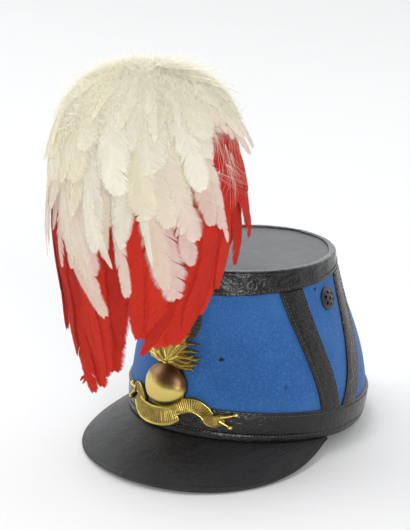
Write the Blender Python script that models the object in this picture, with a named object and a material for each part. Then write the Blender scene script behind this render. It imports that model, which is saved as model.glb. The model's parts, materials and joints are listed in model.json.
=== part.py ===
"""A cloth shako with leather bands, a peak, a brass badge and a falling feather plume.

The hat is modelled in its own frame, in metres: the rim's plane is z = 0, the front faces -Y and
the wearer's left is +X. One empty then leans that frame back until the rear of the rim and the
edge of the peak stand on the ground, and puts the origin under the middle of the whole object.
"""
import math

import bmesh
import bpy
from mathutils import Matrix, Vector

MM = 0.001

# General fits and walls
SEAT_GAP = 0.3 * MM
LEATHER = 1.5 * MM
FELT_WALL = 3.0 * MM

# The crown's form, measured on the cloth
BASE_HALF_WIDTH = 80.7 * MM
BASE_HALF_LENGTH = 101.4 * MM
TOP_HALF_WIDTH = 59.8 * MM
TOP_HALF_LENGTH = 72.1 * MM
CROWN_HEIGHT = 118.2 * MM
CROWN_FORWARD = 19.9 * MM
CROWN_TILT = math.radians(4.0)
SIDE_BULGE = 9.5 * MM
REAR_BULGE = 6.9 * MM
RIM_DIP = 3.5 * MM
BASE_EGG = 0.008
TOP_EGG = 0.034
ROUNDNESS = 1.05
RIM_INSET = 1.0 * MM
AROUND = 48
CROWN_ROWS = 9
INNER_ROWS = 4

# The leather top and the two bands
TOP_THICKNESS = 2.2 * MM
TOP_SKIVE = 0.3 * MM
BASE_BAND_HEIGHT = 22.6 * MM
CROWN_BAND_FRONT = 14.2 * MM
CROWN_BAND_REAR = 5.0 * MM
LIP_REACH = 3.2 * MM
LIP_THICKNESS = 1.0 * MM

# The peak
PEAK_REACH = 46.0 * MM
PEAK_HALF_ANGLE = math.radians(83.0)
PEAK_SLOPE = math.radians(35.0)
PEAK_SIDE_SLOPE = math.radians(2.1)
PEAK_FULLNESS = 2.75
PEAK_ROUNDING = 1.37
PEAK_THICKNESS = 2.5 * MM
PEAK_ARCH = 1.5 * MM
PEAK_TANG = 3.0 * MM
PEAK_COLUMNS = 34

# The side straps, whose angles turn from the front towards the rear
STRAP_WIDTH = 17.5 * MM
STRAP_GAP = 0.5 * MM
STRAP_ROWS = 12
STRAPS = {
    "chevron_front": {"top_angle": 69.5, "bottom_angle": 81.0},
    "chevron_rear": {"top_angle": 121.0, "bottom_angle": 94.5},
}

# The vents
VENT_RADIUS = 8.5 * MM
VENT_DOME = 1.6 * MM
VENT_EDGE = 1.0 * MM
VENT_ANGLE = math.radians(97.0)
VENT_BELOW_TOP = 22.2 * MM
VENT_HOLE_RADIUS = 1.2 * MM
VENT_HOLE_CIRCLE = 4.6 * MM
VENT_BORE_RADIUS = 6.5 * MM

# The cockade
COCKADE_RADIUS = 19.5 * MM
COCKADE_BELOW_BAND = 1.5 * MM
COCKADE_THICKNESS = 1.4 * MM
COCKADE_PLEAT = 0.9 * MM
COCKADE_PLEATS = 18

# The badge, with places across the front from the centre line and heights above the rim
BALL_RADIUS = 17.0 * MM
BALL_DEPTH = 10.0 * MM
BALL_RIM = 0.6 * MM
BALL_ABOVE_BAND = 11.4 * MM
COLLAR_HALF_WIDTH = 5.5 * MM
COLLAR_HALF_HEIGHT = 2.2 * MM
COLLAR_DEPTH = 5.0 * MM
FLAME_ROOT = 4.0 * MM
FLAME_REACH = 27.0 * MM
FLAME_THICKNESS = 1.6 * MM
FLAME_RELIEF = 2.2 * MM
FLAME_TONGUES = (
    {"turn": 176, "reach": 0.84},
    {"turn": 157, "reach": 0.62},
    {"turn": 137, "reach": 0.60},
    {"turn": 118, "reach": 0.64},
    {"turn": 101, "reach": 0.74},
    {"turn": 86, "reach": 0.88},
    {"turn": 71, "reach": 1.00},
    {"turn": 56, "reach": 0.96},
    {"turn": 42, "reach": 0.83},
    {"turn": 28, "reach": 0.85},
    {"turn": 13, "reach": 0.74},
    {"turn": -3, "reach": 0.56},
)
RIBBON_THICKNESS = 1.3 * MM
RIBBON_REED = 0.5 * MM
RIBBON_REEDS = 9
SCROLL_REACH = 53.0 * MM
SCROLL_TOP = 25.0 * MM
RIBBON_WIDTH = 14.5 * MM
SWAG = (
    {"across": -0.55, "height": 0.62, "width": 0.62},
    {"across": -0.38, "height": 0.38, "width": 0.97},
    {"across": -0.15, "height": 0.33, "width": 1.00},
    {"across": 0.08, "height": 0.42, "width": 0.97},
    {"across": 0.235, "height": 0.58, "width": 0.69},
)
HUMP = (
    {"across": 0.14, "height": 0.62, "width": 0.69},
    {"across": 0.265, "height": 0.82, "width": 0.76},
    {"across": 0.425, "height": 0.92, "width": 0.76},
    {"across": 0.565, "height": 0.82, "width": 0.69},
    {"across": 0.64, "height": 0.66, "width": 0.62},
)
RIGHT_TAIL = (
    {"across": 0.595, "height": 0.66, "width": 0.48},
    {"across": 0.70, "height": 0.56, "width": 0.62},
    {"across": 0.79, "height": 0.62, "width": 0.55},
    {"across": 0.85, "height": 0.66, "width": 0.41},
)
LEFT_CURL = (
    {"across": -0.395, "height": 0.56, "width": 0.55},
    {"across": -0.435, "height": 0.80, "width": 0.55},
    {"across": -0.53, "height": 0.94, "width": 0.52},
    {"across": -0.64, "height": 0.80, "width": 0.41},
)
RIGHT_UPPER_PRONG = (
    {"across": 0.81, "height": 0.70, "width": 0.21},
    {"across": 0.905, "height": 0.76, "width": 0.17},
    {"across": 1.00, "height": 0.82, "width": 0.28},
)
RIGHT_LOWER_PRONG = (
    {"across": 0.80, "height": 0.58, "width": 0.21},
    {"across": 0.87, "height": 0.50, "width": 0.17},
    {"across": 0.945, "height": 0.42, "width": 0.28},
)
LEFT_UPPER_PRONG = (
    {"across": -0.605, "height": 0.86, "width": 0.21},
    {"across": -0.70, "height": 0.84, "width": 0.17},
    {"across": -0.775, "height": 0.88, "width": 0.28},
)
LEFT_LOWER_PRONG = (
    {"across": -0.615, "height": 0.78, "width": 0.21},
    {"across": -0.70, "height": 0.62, "width": 0.17},
    {"across": -0.775, "height": 0.48, "width": 0.28},
)

# The plume: its axis stands ahead of the crown's top edge, a little to the wearer's right
PLUME_LEAN = math.radians(7.3)
PLUME_SIDE = -5.0 * MM
PLUME_AHEAD = 51.4 * MM
PLUME_RISE = 137.8 * MM
PLUME_RADIUS = 64.0 * MM
PLUME_DROP = 206.0 * MM
FEATHER_WALL = 2.0 * MM
LAYER_GAP = 1.8 * MM
LOCK_RELIEF = 2.6 * MM
HAT_CLEARANCE = 5.0 * MM
PLUME_COLUMNS = 50
STEM_RADIUS = 2.5 * MM
STEM_FOOT_RISE = 1.0 * MM
STEM_SPRING = 1.5 * MM
STEM_POINTS = 16
UMBRELLA = (
    {"drop": 0.000, "radius": 0.00},
    {"drop": 0.010, "radius": 0.25},
    {"drop": 0.030, "radius": 0.47},
    {"drop": 0.065, "radius": 0.66},
    {"drop": 0.120, "radius": 0.81},
    {"drop": 0.200, "radius": 0.92},
    {"drop": 0.300, "radius": 0.985},
    {"drop": 0.420, "radius": 1.00},
    {"drop": 0.520, "radius": 1.00},
    {"drop": 0.630, "radius": 0.94},
    {"drop": 0.730, "radius": 0.86},
    {"drop": 0.830, "radius": 0.80},
    {"drop": 0.920, "radius": 0.72},
    {"drop": 1.000, "radius": 0.65},
)
WHITE_NOTCH = 0.28
WHITE_LOCKS = (
    {"turn": -148, "drop": 0.44, "half": 17},
    {"turn": -120, "drop": 0.52, "half": 16},
    {"turn": -95, "drop": 0.60, "half": 14},
    {"turn": -74, "drop": 0.67, "half": 13},
    {"turn": -52, "drop": 0.66, "half": 13},
    {"turn": -30, "drop": 0.62, "half": 12},
    {"turn": -8, "drop": 0.60, "half": 12},
    {"turn": 14, "drop": 0.73, "half": 12},
    {"turn": 30, "drop": 0.65, "half": 8},
    {"turn": 43, "drop": 0.54, "half": 9},
    {"turn": 59, "drop": 0.67, "half": 12},
    {"turn": 80, "drop": 0.45, "half": 12},
    {"turn": 95, "drop": 0.52, "half": 9},
    {"turn": 116, "drop": 0.37, "half": 14},
    {"turn": 140, "drop": 0.36, "half": 14},
    {"turn": 166, "drop": 0.42, "half": 16},
    {"turn": -172, "drop": 0.46, "half": 14},
)
RED_NOTCH = 0.50
RED_LOCKS = (
    {"turn": -150, "drop": 0.70, "half": 16},
    {"turn": -126, "drop": 0.72, "half": 15},
    {"turn": -103, "drop": 0.73, "half": 14},
    {"turn": -80, "drop": 0.76, "half": 14},
    {"turn": -58, "drop": 0.78, "half": 15},
    {"turn": -37, "drop": 0.86, "half": 15},
    {"turn": -18, "drop": 0.93, "half": 14},
    {"turn": 2, "drop": 1.00, "half": 16},
    {"turn": 18, "drop": 0.92, "half": 9},
    {"turn": 34, "drop": 0.79, "half": 8},
    {"turn": 47, "drop": 0.81, "half": 11},
    {"turn": 68, "drop": 0.80, "half": 12},
    {"turn": 84, "drop": 0.74, "half": 10},
    {"turn": 100, "drop": 0.63, "half": 10},
    {"turn": 118, "drop": 0.58, "half": 12},
    {"turn": 139, "drop": 0.63, "half": 13},
    {"turn": 160, "drop": 0.69, "half": 13},
    {"turn": 182, "drop": 0.71, "half": 13},
)

# Colours, as base colour, roughness and metallic
CLOTH = ((0.03, 0.11, 0.34), 0.95, 0.0)
BLACK_LEATHER = ((0.012, 0.011, 0.011), 0.5, 0.0)
TOP_LEATHER = ((0.03, 0.03, 0.032), 0.45, 0.0)
PEAK_LEATHER = ((0.016, 0.014, 0.014), 0.6, 0.0)
BRASS = ((0.55, 0.38, 0.10), 0.3, 1.0)
BLACK_SILK = ((0.01, 0.01, 0.011), 0.7, 0.0)
BLACK_METAL = ((0.02, 0.02, 0.022), 0.5, 0.6)
STEEL_WIRE = ((0.35, 0.34, 0.32), 0.5, 1.0)
WHITE_FEATHER = ((0.82, 0.78, 0.66), 0.9, 0.0)
RED_FEATHER = ((0.70, 0.03, 0.02), 0.85, 0.0)


# Scene and mesh helpers

def clear_scene():
    """Remove every object that the file opened with."""
    for existing in list(bpy.data.objects):
        bpy.data.objects.remove(existing, do_unlink=True)


def material(name, finish):
    """Principled material from a base colour, a roughness and a metallic value."""
    colour, roughness, metallic = finish
    made = bpy.data.materials.new(name)
    made.use_nodes = True
    shader = made.node_tree.nodes["Principled BSDF"]
    shader.inputs["Base Color"].default_value = (*colour, 1.0)
    shader.inputs["Roughness"].default_value = roughness
    shader.inputs["Metallic"].default_value = metallic
    made.diffuse_color = (*colour, 1.0)
    return made


def piece(name, vertices, faces, finish, parent, sharp=40.0):
    """Closed mesh object with its poles merged, its faces outward and its round sides smooth."""
    mesh = bpy.data.meshes.new(name)
    mesh.from_pydata([tuple(vertex) for vertex in vertices], [], faces)
    work = bmesh.new()
    work.from_mesh(mesh)
    bmesh.ops.remove_doubles(work, verts=work.verts, dist=0.001 * MM)
    bmesh.ops.recalc_face_normals(work, faces=work.faces)
    work.to_mesh(mesh)
    work.free()
    mesh.shade_smooth()
    mesh.set_sharp_from_angle(angle=math.radians(sharp))
    made = bpy.data.objects.new(name, mesh)
    made.data.materials.append(material(name, finish))
    made.parent = parent
    bpy.context.scene.collection.objects.link(made)
    return made


def swept(sections, around=False, closed=True):
    """Vertices and faces of a skin through equal sections, as a ring or with both ends capped."""
    count = len(sections[0])
    total = len(sections)
    vertices = [point for section in sections for point in section]
    faces = []
    for row in range(total if around else total - 1):
        here = row * count
        there = (row + 1) % total * count
        for step in range(count if closed else count - 1):
            ahead = (step + 1) % count
            faces.append((here + step, here + ahead, there + ahead, there + step))
    if not around:
        faces.append(tuple(range(count)))
        faces.append(tuple(range((total - 1) * count, total * count)))
    return vertices, faces


def hide_tool(tool):
    """Keep a shape that only cuts or joins another out of the model."""
    tool.hide_render = True
    tool.display_type = "WIRE"


def combine(target, tool, operation):
    """Add an exact Boolean that cuts the tool from the target or joins it on."""
    modifier = target.modifiers.new(tool.name, "BOOLEAN")
    modifier.operation = operation
    modifier.solver = "EXACT"
    modifier.object = tool
    hide_tool(tool)


def blend(low, high, share):
    """Value between two others."""
    return low + (high - low) * share


def curve_through(rows, keys, steps):
    """Points on a smooth curve through the rows of a table, as one tuple of the keys for each."""
    points = [tuple(row[key] for key in keys) for row in rows]
    found = []
    spans = len(points) - 1
    for step in range(steps + 1):
        place = step / steps * spans
        span = min(int(place), spans - 1)
        share = place - span
        before = points[max(span - 1, 0)]
        start = points[span]
        end = points[span + 1]
        after = points[min(span + 2, spans)]
        found.append(tuple(
            0.5 * (2 * b + (c - a) * share + (2 * a - 5 * b + 4 * c - d) * share ** 2
                   + (3 * b - a - 3 * c + d) * share ** 3)
            for a, b, c, d in zip(before, start, end, after)))
    return found


# The crown's surface

def signed_power(value, power):
    """Power of a number that keeps its sign."""
    return math.copysign(abs(value) ** power, value)


def crown_ring(share):
    """Half width, half length and middle of the crown's level ring at a share of its height."""
    bulge = 6.75 * share * (1.0 - share) ** 2
    half_width = blend(BASE_HALF_WIDTH, TOP_HALF_WIDTH, share) + SIDE_BULGE * bulge
    front = blend(-BASE_HALF_LENGTH, -CROWN_FORWARD - TOP_HALF_LENGTH, share)
    rear = blend(BASE_HALF_LENGTH, TOP_HALF_LENGTH - CROWN_FORWARD, share) + REAR_BULGE * bulge
    return half_width, (rear - front) / 2, (rear + front) / 2


def crown_point(share, angle, out=0.0, up=0.0):
    """Point at an angle from the front, pushed out from the cloth and up from its ring's plane."""
    half_width, half_length, middle = crown_ring(share)
    egg = blend(BASE_EGG, TOP_EGG, share)
    across = half_width * signed_power(math.sin(angle), ROUNDNESS) * (1.0 - egg * math.cos(angle))
    along = -half_length * signed_power(math.cos(angle), ROUNDNESS)
    outward = Vector((across / half_width ** 2, along / half_length ** 2)).normalized()
    across += out * outward.x
    along += out * outward.y
    tilt = CROWN_TILT * share
    dip = RIM_DIP * (1.0 - share) * math.sin(angle) ** 2
    return Vector((
        across,
        middle + along * math.cos(tilt) - up * math.sin(tilt),
        CROWN_HEIGHT * share + along * math.sin(tilt) + up * math.cos(tilt) - dip,
    ))


def angle_across(share, distance):
    """Angle whose arc along the level ring is this far from the front centre line."""
    step = math.radians(1.0)
    angle = 0.0
    walked = 0.0
    while walked < abs(distance):
        span = (crown_point(share, angle + step) - crown_point(share, angle)).length
        part = min(1.0, (abs(distance) - walked) / span)
        angle += step * part
        walked += span
    return math.copysign(angle, distance)


def front_point(across, height, out):
    """Point in front of the cloth, from its place across the front and its height."""
    share = height / CROWN_HEIGHT
    return crown_point(share, angle_across(share, across), out)


def turn_for(share, angle, distance):
    """Angle that a short distance along the level ring turns through."""
    step = math.radians(0.5)
    reach = (crown_point(share, angle + step) - crown_point(share, angle - step)).length
    return distance * 2 * step / reach


def crown_band_share(angle):
    """Share of the crown's height at the lower edge of the crown band."""
    depth = blend(CROWN_BAND_REAR, CROWN_BAND_FRONT, (1.0 + math.cos(angle)) / 2)
    return 1.0 - depth / CROWN_HEIGHT


def angles(count):
    """Equal angles once round the crown."""
    return [2 * math.pi * step / count for step in range(count)]


# The crown, its top and its bands

def make_crown_body(parent):
    """Felt shell under its cloth, open at the rim and at the top, with a bore behind each vent."""
    band_top = BASE_BAND_HEIGHT / CROWN_HEIGHT
    shares = [RIM_INSET / CROWN_HEIGHT, 0.5 * band_top]
    shares += [blend(band_top, 1.0, step / CROWN_ROWS) for step in range(CROWN_ROWS + 1)]
    inner_shares = [blend(1.0, shares[0], step / INNER_ROWS) for step in range(INNER_ROWS + 1)]
    sections = []
    for angle in angles(AROUND):
        outer = [crown_point(share, angle) for share in shares]
        inner = [crown_point(share, angle, -FELT_WALL) for share in inner_shares]
        sections.append(outer + inner)
    body = piece("crown_body", *swept(sections, around=True), CLOTH, parent)
    for side in (-1, 1):
        bore = vent_cutter("bore_cutter", [(0.0, 0.0)], VENT_BORE_RADIUS, 12, side, parent)
        combine(body, bore, "DIFFERENCE")
    return body


def make_crown_top(parent):
    """Flat leather top on the upper edge of the shell, skived where the band's lip covers it."""
    flat_edge = -LIP_REACH - 2 * SEAT_GAP
    top = SEAT_GAP + TOP_THICKNESS
    steps = ((0.0, SEAT_GAP), (0.0, top - TOP_SKIVE), (flat_edge, top))
    rings = [[crown_point(1.0, angle, out, up) for angle in angles(AROUND)] for out, up in steps]
    return piece("crown_top", *swept(rings), TOP_LEATHER, parent)


def make_crown_band(parent):
    """Leather band round the top of the crown, turned in over the edge of the top."""
    inner = SEAT_GAP
    outer = SEAT_GAP + LEATHER
    under_lip = TOP_THICKNESS + 2 * SEAT_GAP
    over_lip = under_lip + LIP_THICKNESS
    shoulder = (outer, 0.4 * over_lip), (0.75 * outer, 0.75 * over_lip), (-0.3 * outer, over_lip)
    lip = (-LIP_REACH, 0.95 * over_lip), (-LIP_REACH, under_lip)
    sections = []
    for angle in angles(AROUND):
        low = crown_band_share(angle)
        middle = blend(low, 1.0, 0.5)
        section = [crown_point(low, angle, inner), crown_point(low, angle, outer)]
        section += [crown_point(middle, angle, outer)]
        section += [crown_point(1.0, angle, out, up) for out, up in shoulder + lip]
        section.append(crown_point(1.0, angle, inner, under_lip))
        sections.append(section)
    return piece("crown_band", *swept(sections, around=True), BLACK_LEATHER, parent)


def base_band_sections():
    """Sections of the leather band round the rim."""
    inner = SEAT_GAP
    outer = SEAT_GAP + LEATHER
    top = BASE_BAND_HEIGHT / CROWN_HEIGHT
    shares = (0.0, 0.5 * top, top)
    sections = []
    for angle in angles(AROUND):
        section = [crown_point(share, angle, outer) for share in shares]
        section += [crown_point(share, angle, inner) for share in reversed(shares)]
        sections.append(section)
    return sections


# The peak

def peak_sections():
    """Sections of the peak from one end to the other, each a loop out over it and back under."""
    start = SEAT_GAP + LEATHER - PEAK_TANG
    bend = SEAT_GAP + LEATHER
    sections = []
    for column in range(PEAK_COLUMNS + 1):
        place = 2 * column / PEAK_COLUMNS - 1
        angle = PEAK_HALF_ANGLE * place
        reach = PEAK_REACH * (1.0 - abs(place) ** PEAK_FULLNESS) ** PEAK_ROUNDING
        slope = PEAK_SLOPE + PEAK_SIDE_SLOPE * place ** 2
        over = [(start, -SEAT_GAP), (bend, -SEAT_GAP)]
        for share in (0.25, 0.5, 0.75, 1.0):
            arch = PEAK_ARCH * 4 * share * (1.0 - share) * reach / PEAK_REACH
            out = bend + reach * share * math.cos(slope) + arch * math.sin(slope)
            down = -SEAT_GAP - reach * share * math.sin(slope) + arch * math.cos(slope)
            over.append((out, down))
        under = [(out - PEAK_THICKNESS * math.sin(slope) * 0.6, down - PEAK_THICKNESS)
                 for out, down in reversed(over[2:])]
        under += [(bend, -SEAT_GAP - PEAK_THICKNESS), (start, -SEAT_GAP - PEAK_THICKNESS)]
        edge_out, edge_down = over[-1]
        nose = [(edge_out + 0.3 * PEAK_THICKNESS, edge_down - 0.5 * PEAK_THICKNESS)]
        section = []
        for out, down in over + nose + under:
            spot = crown_point(0.0, angle, out)
            spot.z += down
            section.append(spot)
        sections.append(section)
    return sections


# The straps and the vents

def make_strap(name, strap, side, parent):
    """Leather strap sewn on the side of the crown, between the two bands."""
    top_angle = math.radians(strap["top_angle"])
    bottom_angle = math.radians(strap["bottom_angle"])
    low = (BASE_BAND_HEIGHT + SEAT_GAP) / CROWN_HEIGHT
    high = 1.0 - CROWN_BAND_FRONT / CROWN_HEIGHT
    run = crown_point(high, top_angle) - crown_point(low, bottom_angle)
    slant = run.length / run.z
    sections = []
    for row in range(STRAP_ROWS + 1):
        level = row / STRAP_ROWS
        loop = []
        for lane in (-1, -0.5, 0, 0.5, 1):
            angle = blend(bottom_angle, top_angle, level)
            turn = turn_for(level, angle, lane * STRAP_WIDTH / 2 * slant)
            ceiling = crown_band_share(angle + turn) - SEAT_GAP / CROWN_HEIGHT
            loop.append((blend(low, ceiling, level), side * (angle + turn)))
        outer = [crown_point(share, angle, STRAP_GAP + LEATHER) for share, angle in loop]
        inner = [crown_point(share, angle, STRAP_GAP) for share, angle in reversed(loop)]
        sections.append(outer + inner)
    return piece(name, *swept(sections), BLACK_LEATHER, parent)


def vent_frame(side):
    """Matrix at a vent's seat, with its z axis out of the cloth and its y axis up it."""
    share = 1.0 - VENT_BELOW_TOP / CROWN_HEIGHT
    angle = side * VENT_ANGLE
    seat = crown_point(share, angle)
    up = (crown_point(share + 0.02, angle) - crown_point(share - 0.02, angle)).normalized()
    level = (crown_point(share, angle + 0.02) - crown_point(share, angle - 0.02)).normalized()
    outward = level.cross(up).normalized()
    if outward.x * side < 0:
        outward = -outward
    frame = Matrix((up.cross(outward), up, outward)).transposed().to_4x4()
    frame.translation = seat
    return frame


def vent_cutter(name, centres, radius, sides, side, parent):
    """Round bars square to the cloth at a vent, one for each centre."""
    vertices = []
    faces = []
    for x, y in centres:
        loops = []
        for level in (-3 * FELT_WALL, 3 * FELT_WALL):
            loops.append([Vector((x + radius * math.sin(turn), y + radius * math.cos(turn), level))
                          for turn in angles(sides)])
        bar_vertices, bar_faces = swept(loops)
        first = len(vertices)
        vertices += bar_vertices
        faces += [tuple(first + index for index in face) for face in bar_faces]
    cutter = piece(f"{name}_{'left' if side > 0 else 'right'}", vertices, faces, BLACK_METAL, parent)
    cutter.matrix_local = vent_frame(side)
    return cutter


def make_vent(name, side, parent):
    """Domed metal disc with a ring of holes round a middle one."""
    lift = SEAT_GAP
    rings = ((0.0, 0.0), (VENT_RADIUS, 0.0), (VENT_RADIUS, VENT_EDGE),
             (0.75 * VENT_RADIUS, VENT_EDGE + 0.45 * VENT_DOME),
             (0.4 * VENT_RADIUS, VENT_EDGE + 0.85 * VENT_DOME), (0.0, VENT_EDGE + VENT_DOME))
    sections = []
    for turn in angles(18):
        sections.append([Vector((radius * math.sin(turn), radius * math.cos(turn), lift + level))
                         for radius, level in rings])
    vertices, faces = swept(sections, around=True, closed=False)
    vent = piece(name, vertices, faces, BLACK_METAL, parent)
    vent.matrix_local = vent_frame(side)
    centres = [(0.0, 0.0)]
    centres += [(VENT_HOLE_CIRCLE * math.sin(turn), VENT_HOLE_CIRCLE * math.cos(turn))
                for turn in angles(6)]
    combine(vent, vent_cutter("hole_cutter", centres, VENT_HOLE_RADIUS, 6, side, parent),
            "DIFFERENCE")
    return vent


# The cockade and the badge

def make_cockade(parent):
    """Round rosette of pleated black silk on the front of the crown."""
    back = SEAT_GAP
    middle = CROWN_HEIGHT - CROWN_BAND_FRONT - COCKADE_BELOW_BAND - COCKADE_RADIUS
    sections = []
    for index, turn in enumerate(angles(2 * COCKADE_PLEATS)):
        ridge = COCKADE_PLEAT if index % 2 == 0 else 0.0
        front = back + COCKADE_THICKNESS
        edge = 1.0 if index % 2 == 0 else 0.96
        rings = ((0.0, back), (0.3, back), (0.65, back), (1.0, back), (edge, 0.8 * front),
                 (0.6, front + ridge), (0.16, front + 0.4 * ridge), (0.0, front))
        section = []
        for share, out in rings:
            across = COCKADE_RADIUS * share * math.sin(turn)
            height = middle + COCKADE_RADIUS * share * math.cos(turn)
            section.append(front_point(across, height, out))
        sections.append(section)
    vertices, faces = swept(sections, around=True, closed=False)
    return piece("cockade", vertices, faces, BLACK_SILK, parent, sharp=20.0)


def badge_back():
    """Distance from the cloth to the back of the badge, which lies on the base band."""
    return LEATHER + 2 * SEAT_GAP


def ball_height():
    """Height of the ball's middle above the rim."""
    return BASE_BAND_HEIGHT + BALL_ABOVE_BAND


def make_ball(name, parent):
    """Hollow-cast ball of the badge, as a dome."""
    back = badge_back()
    rings = [(share * BALL_RADIUS, back) for share in (0.0, 0.33, 0.67, 1.0)]
    for step in range(6):
        lift = math.radians(90 * step / 5)
        rings.append((BALL_RADIUS * math.cos(lift), back + BALL_RIM + BALL_DEPTH * math.sin(lift)))
    sections = []
    for turn in angles(18):
        sections.append([
            front_point(radius * math.sin(turn), ball_height() + radius * math.cos(turn), out)
            for radius, out in rings])
    vertices, faces = swept(sections, around=True, closed=False)
    return piece(name, vertices, faces, BRASS, parent)


def flame_back():
    """Distance from the cloth to the back of the flame, which clears the cockade."""
    return COCKADE_THICKNESS + COCKADE_PLEAT + 2 * SEAT_GAP


def make_collar(name, parent):
    """Round collar between the ball and the flame."""
    centre = ball_height() + BALL_RADIUS + 0.4 * COLLAR_HALF_HEIGHT
    back = badge_back() + 0.2 * MM
    sections = []
    for step in range(7):
        place = step / 3 - 1
        swell = math.sqrt(max(0.05, 1.0 - place ** 2))
        loop = []
        for turn in angles(8):
            across = COLLAR_HALF_WIDTH * place
            height = centre + COLLAR_HALF_HEIGHT * math.cos(turn)
            out = back + COLLAR_DEPTH * swell * (0.5 + 0.5 * math.sin(turn))
            loop.append(front_point(across, height, out))
        sections.append(loop)
    return piece(name, *swept(sections), BRASS, parent)


def make_flame(name, parent):
    """Fluted flame that blows to the wearer's left, with a ridge along each tongue."""
    centre = ball_height() + BALL_RADIUS
    back = flame_back()
    columns = []
    for index, tongue in enumerate(FLAME_TONGUES):
        columns.append((tongue["turn"], tongue["reach"], FLAME_RELIEF))
        if index + 1 < len(FLAME_TONGUES):
            following = FLAME_TONGUES[index + 1]
            notch = 0.80 * min(tongue["reach"], following["reach"])
            columns.append((blend(tongue["turn"], following["turn"], 0.5), notch, 0.0))
    sections = []
    for turn, reach, ridge in columns:
        tip = FLAME_REACH * reach
        outline = ((FLAME_ROOT, 0.8 * ridge), (0.4 * tip, ridge), (0.72 * tip, ridge),
                   (tip, 0.2 * ridge))
        front = []
        rear = []
        for distance, relief in outline:
            lean = math.radians(turn) - 0.10 * distance / FLAME_REACH
            across = distance * math.cos(lean)
            height = centre + distance * math.sin(lean)
            front.append(front_point(across, height, back + FLAME_THICKNESS + relief))
            rear.append(front_point(across, height, back))
        sections.append(front + rear[::-1])
    return piece(name, *swept(sections), BRASS, parent, sharp=25.0)


def ribbon_sections(rows, steps, back, reed):
    """Sections across a ribbon of sheet brass that follows a table of places."""
    shares = curve_through(rows, ("across", "height", "width"), steps)
    path = [(across * SCROLL_REACH, height * SCROLL_TOP, width * RIBBON_WIDTH)
            for across, height, width in shares]
    sections = []
    for step, (across, height, width) in enumerate(path):
        before = path[max(step - 1, 0)]
        after = path[min(step + 1, steps)]
        run = Vector((after[0] - before[0], after[1] - before[1])).normalized()
        side = Vector((-run.y, run.x)) * width / 2
        raised = back + RIBBON_THICKNESS + (reed if step % 2 else 0.0)
        edge = back + RIBBON_THICKNESS
        loop = []
        for lane, out in ((-1, back), (-1, edge), (-0.8, raised), (0.8, raised), (1, edge), (1, back)):
            loop.append(front_point(across + lane * side.x, height + lane * side.y, out))
        sections.append(loop)
    return sections


def make_badge(parent):
    """Badge of one soldered body: ball, collar, flame and a plain reeded scroll."""
    badge = make_ball("badge", parent)
    back = badge_back()
    step_back = 0.1 * MM
    parts = [make_collar("badge_collar", parent), make_flame("badge_flame", parent)]
    ribbons = (
        ("swag", SWAG, 2 * RIBBON_REEDS, RIBBON_REED), ("hump", HUMP, 12, RIBBON_REED),
        ("right_tail", RIGHT_TAIL, 6, 0.0), ("left_curl", LEFT_CURL, 8, 0.0),
        ("right_upper", RIGHT_UPPER_PRONG, 4, 0.0), ("right_lower", RIGHT_LOWER_PRONG, 4, 0.0),
        ("left_upper", LEFT_UPPER_PRONG, 4, 0.0), ("left_lower", LEFT_LOWER_PRONG, 4, 0.0),
    )
    for index, (name, rows, steps, reed) in enumerate(ribbons):
        sections = ribbon_sections(rows, steps, back + (index + 1) * step_back, reed)
        parts.append(piece(f"badge_{name}", *swept(sections), BRASS, parent))
    for part in parts:
        combine(badge, part, "UNION")
    return badge


# The plume

def plume_frame():
    """Matrix of the plume: its top is the origin, z goes up its axis and y towards the rear."""
    frame = Matrix.Rotation(PLUME_LEAN, 4, "X")
    ahead = CROWN_FORWARD + TOP_HALF_LENGTH + PLUME_AHEAD
    frame.translation = Vector((PLUME_SIDE, -ahead, CROWN_HEIGHT + PLUME_RISE))
    return frame


def umbrella_radius(drop):
    """Radius of the umbrella that the feathers fall in, at a drop below its top."""
    share = min(max(drop / PLUME_DROP, 0.0), 1.0)
    for upper, lower in zip(UMBRELLA, UMBRELLA[1:]):
        if share <= lower["drop"]:
            place = (share - upper["drop"]) / (lower["drop"] - upper["drop"])
            return PLUME_RADIUS * blend(upper["radius"], lower["radius"], place)
    return PLUME_RADIUS * UMBRELLA[-1]["radius"]


def plume_point(turn, drop, offset):
    """Point at a turn from the front, offset square to the umbrella's curve, in the hat's frame."""
    step = 2.0 * MM
    rise = umbrella_radius(drop + step) - umbrella_radius(max(drop - step, 0.0))
    run = drop + step - max(drop - step, 0.0)
    normal = Vector((run, rise)).normalized()
    if drop <= 0.0:
        normal = Vector((0.0, 1.0))
    radius = max(umbrella_radius(drop) + offset * normal.x, 0.0)
    level = -drop + offset * normal.y
    spot = Vector((radius * math.sin(turn), -radius * math.cos(turn), level))
    return plume_frame() @ spot


def near_hat(point, clearance):
    """Whether a point lies in the hat or within a clearance of it."""
    top = CROWN_HEIGHT + SEAT_GAP * 2 + TOP_THICKNESS + LIP_THICKNESS
    middle = crown_ring(1.0)[2]
    if point.z > top + (point.y - middle) * math.sin(CROWN_TILT) + clearance:
        return False
    share = min(max(point.z / CROWN_HEIGHT, 0.0), 1.0)
    half_width, half_length, middle = crown_ring(share)
    leather = LEATHER + SEAT_GAP + clearance
    across = abs(point.x) / (half_width + leather)
    along = abs(point.y - middle) / (half_length + leather)
    return across ** 2 + along ** 2 < 1.0


def lock_hem(locks, notch, turn):
    """Drop of a layer's lower edge at a turn, and how near the turn is to a lock's middle."""
    drop = notch
    crest = 0.0
    for lock in locks:
        off = (math.degrees(turn) - lock["turn"] + 180) % 360 - 180
        off = abs(off) / lock["half"]
        if off < 1.0:
            drop = max(drop, blend(notch, lock["drop"], 1.0 - off ** 2.2))
            crest = max(crest, 1.0 - off ** 2)
    return drop * PLUME_DROP, crest


def clear_hem(turn, drop, offset):
    """Drop at which a lock stops, so that it hangs clear of the hat."""
    reach = drop
    while near_hat(plume_point(turn, reach, offset), HAT_CLEARANCE) and reach > 0:
        reach -= 1.0 * MM
    return reach


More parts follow.
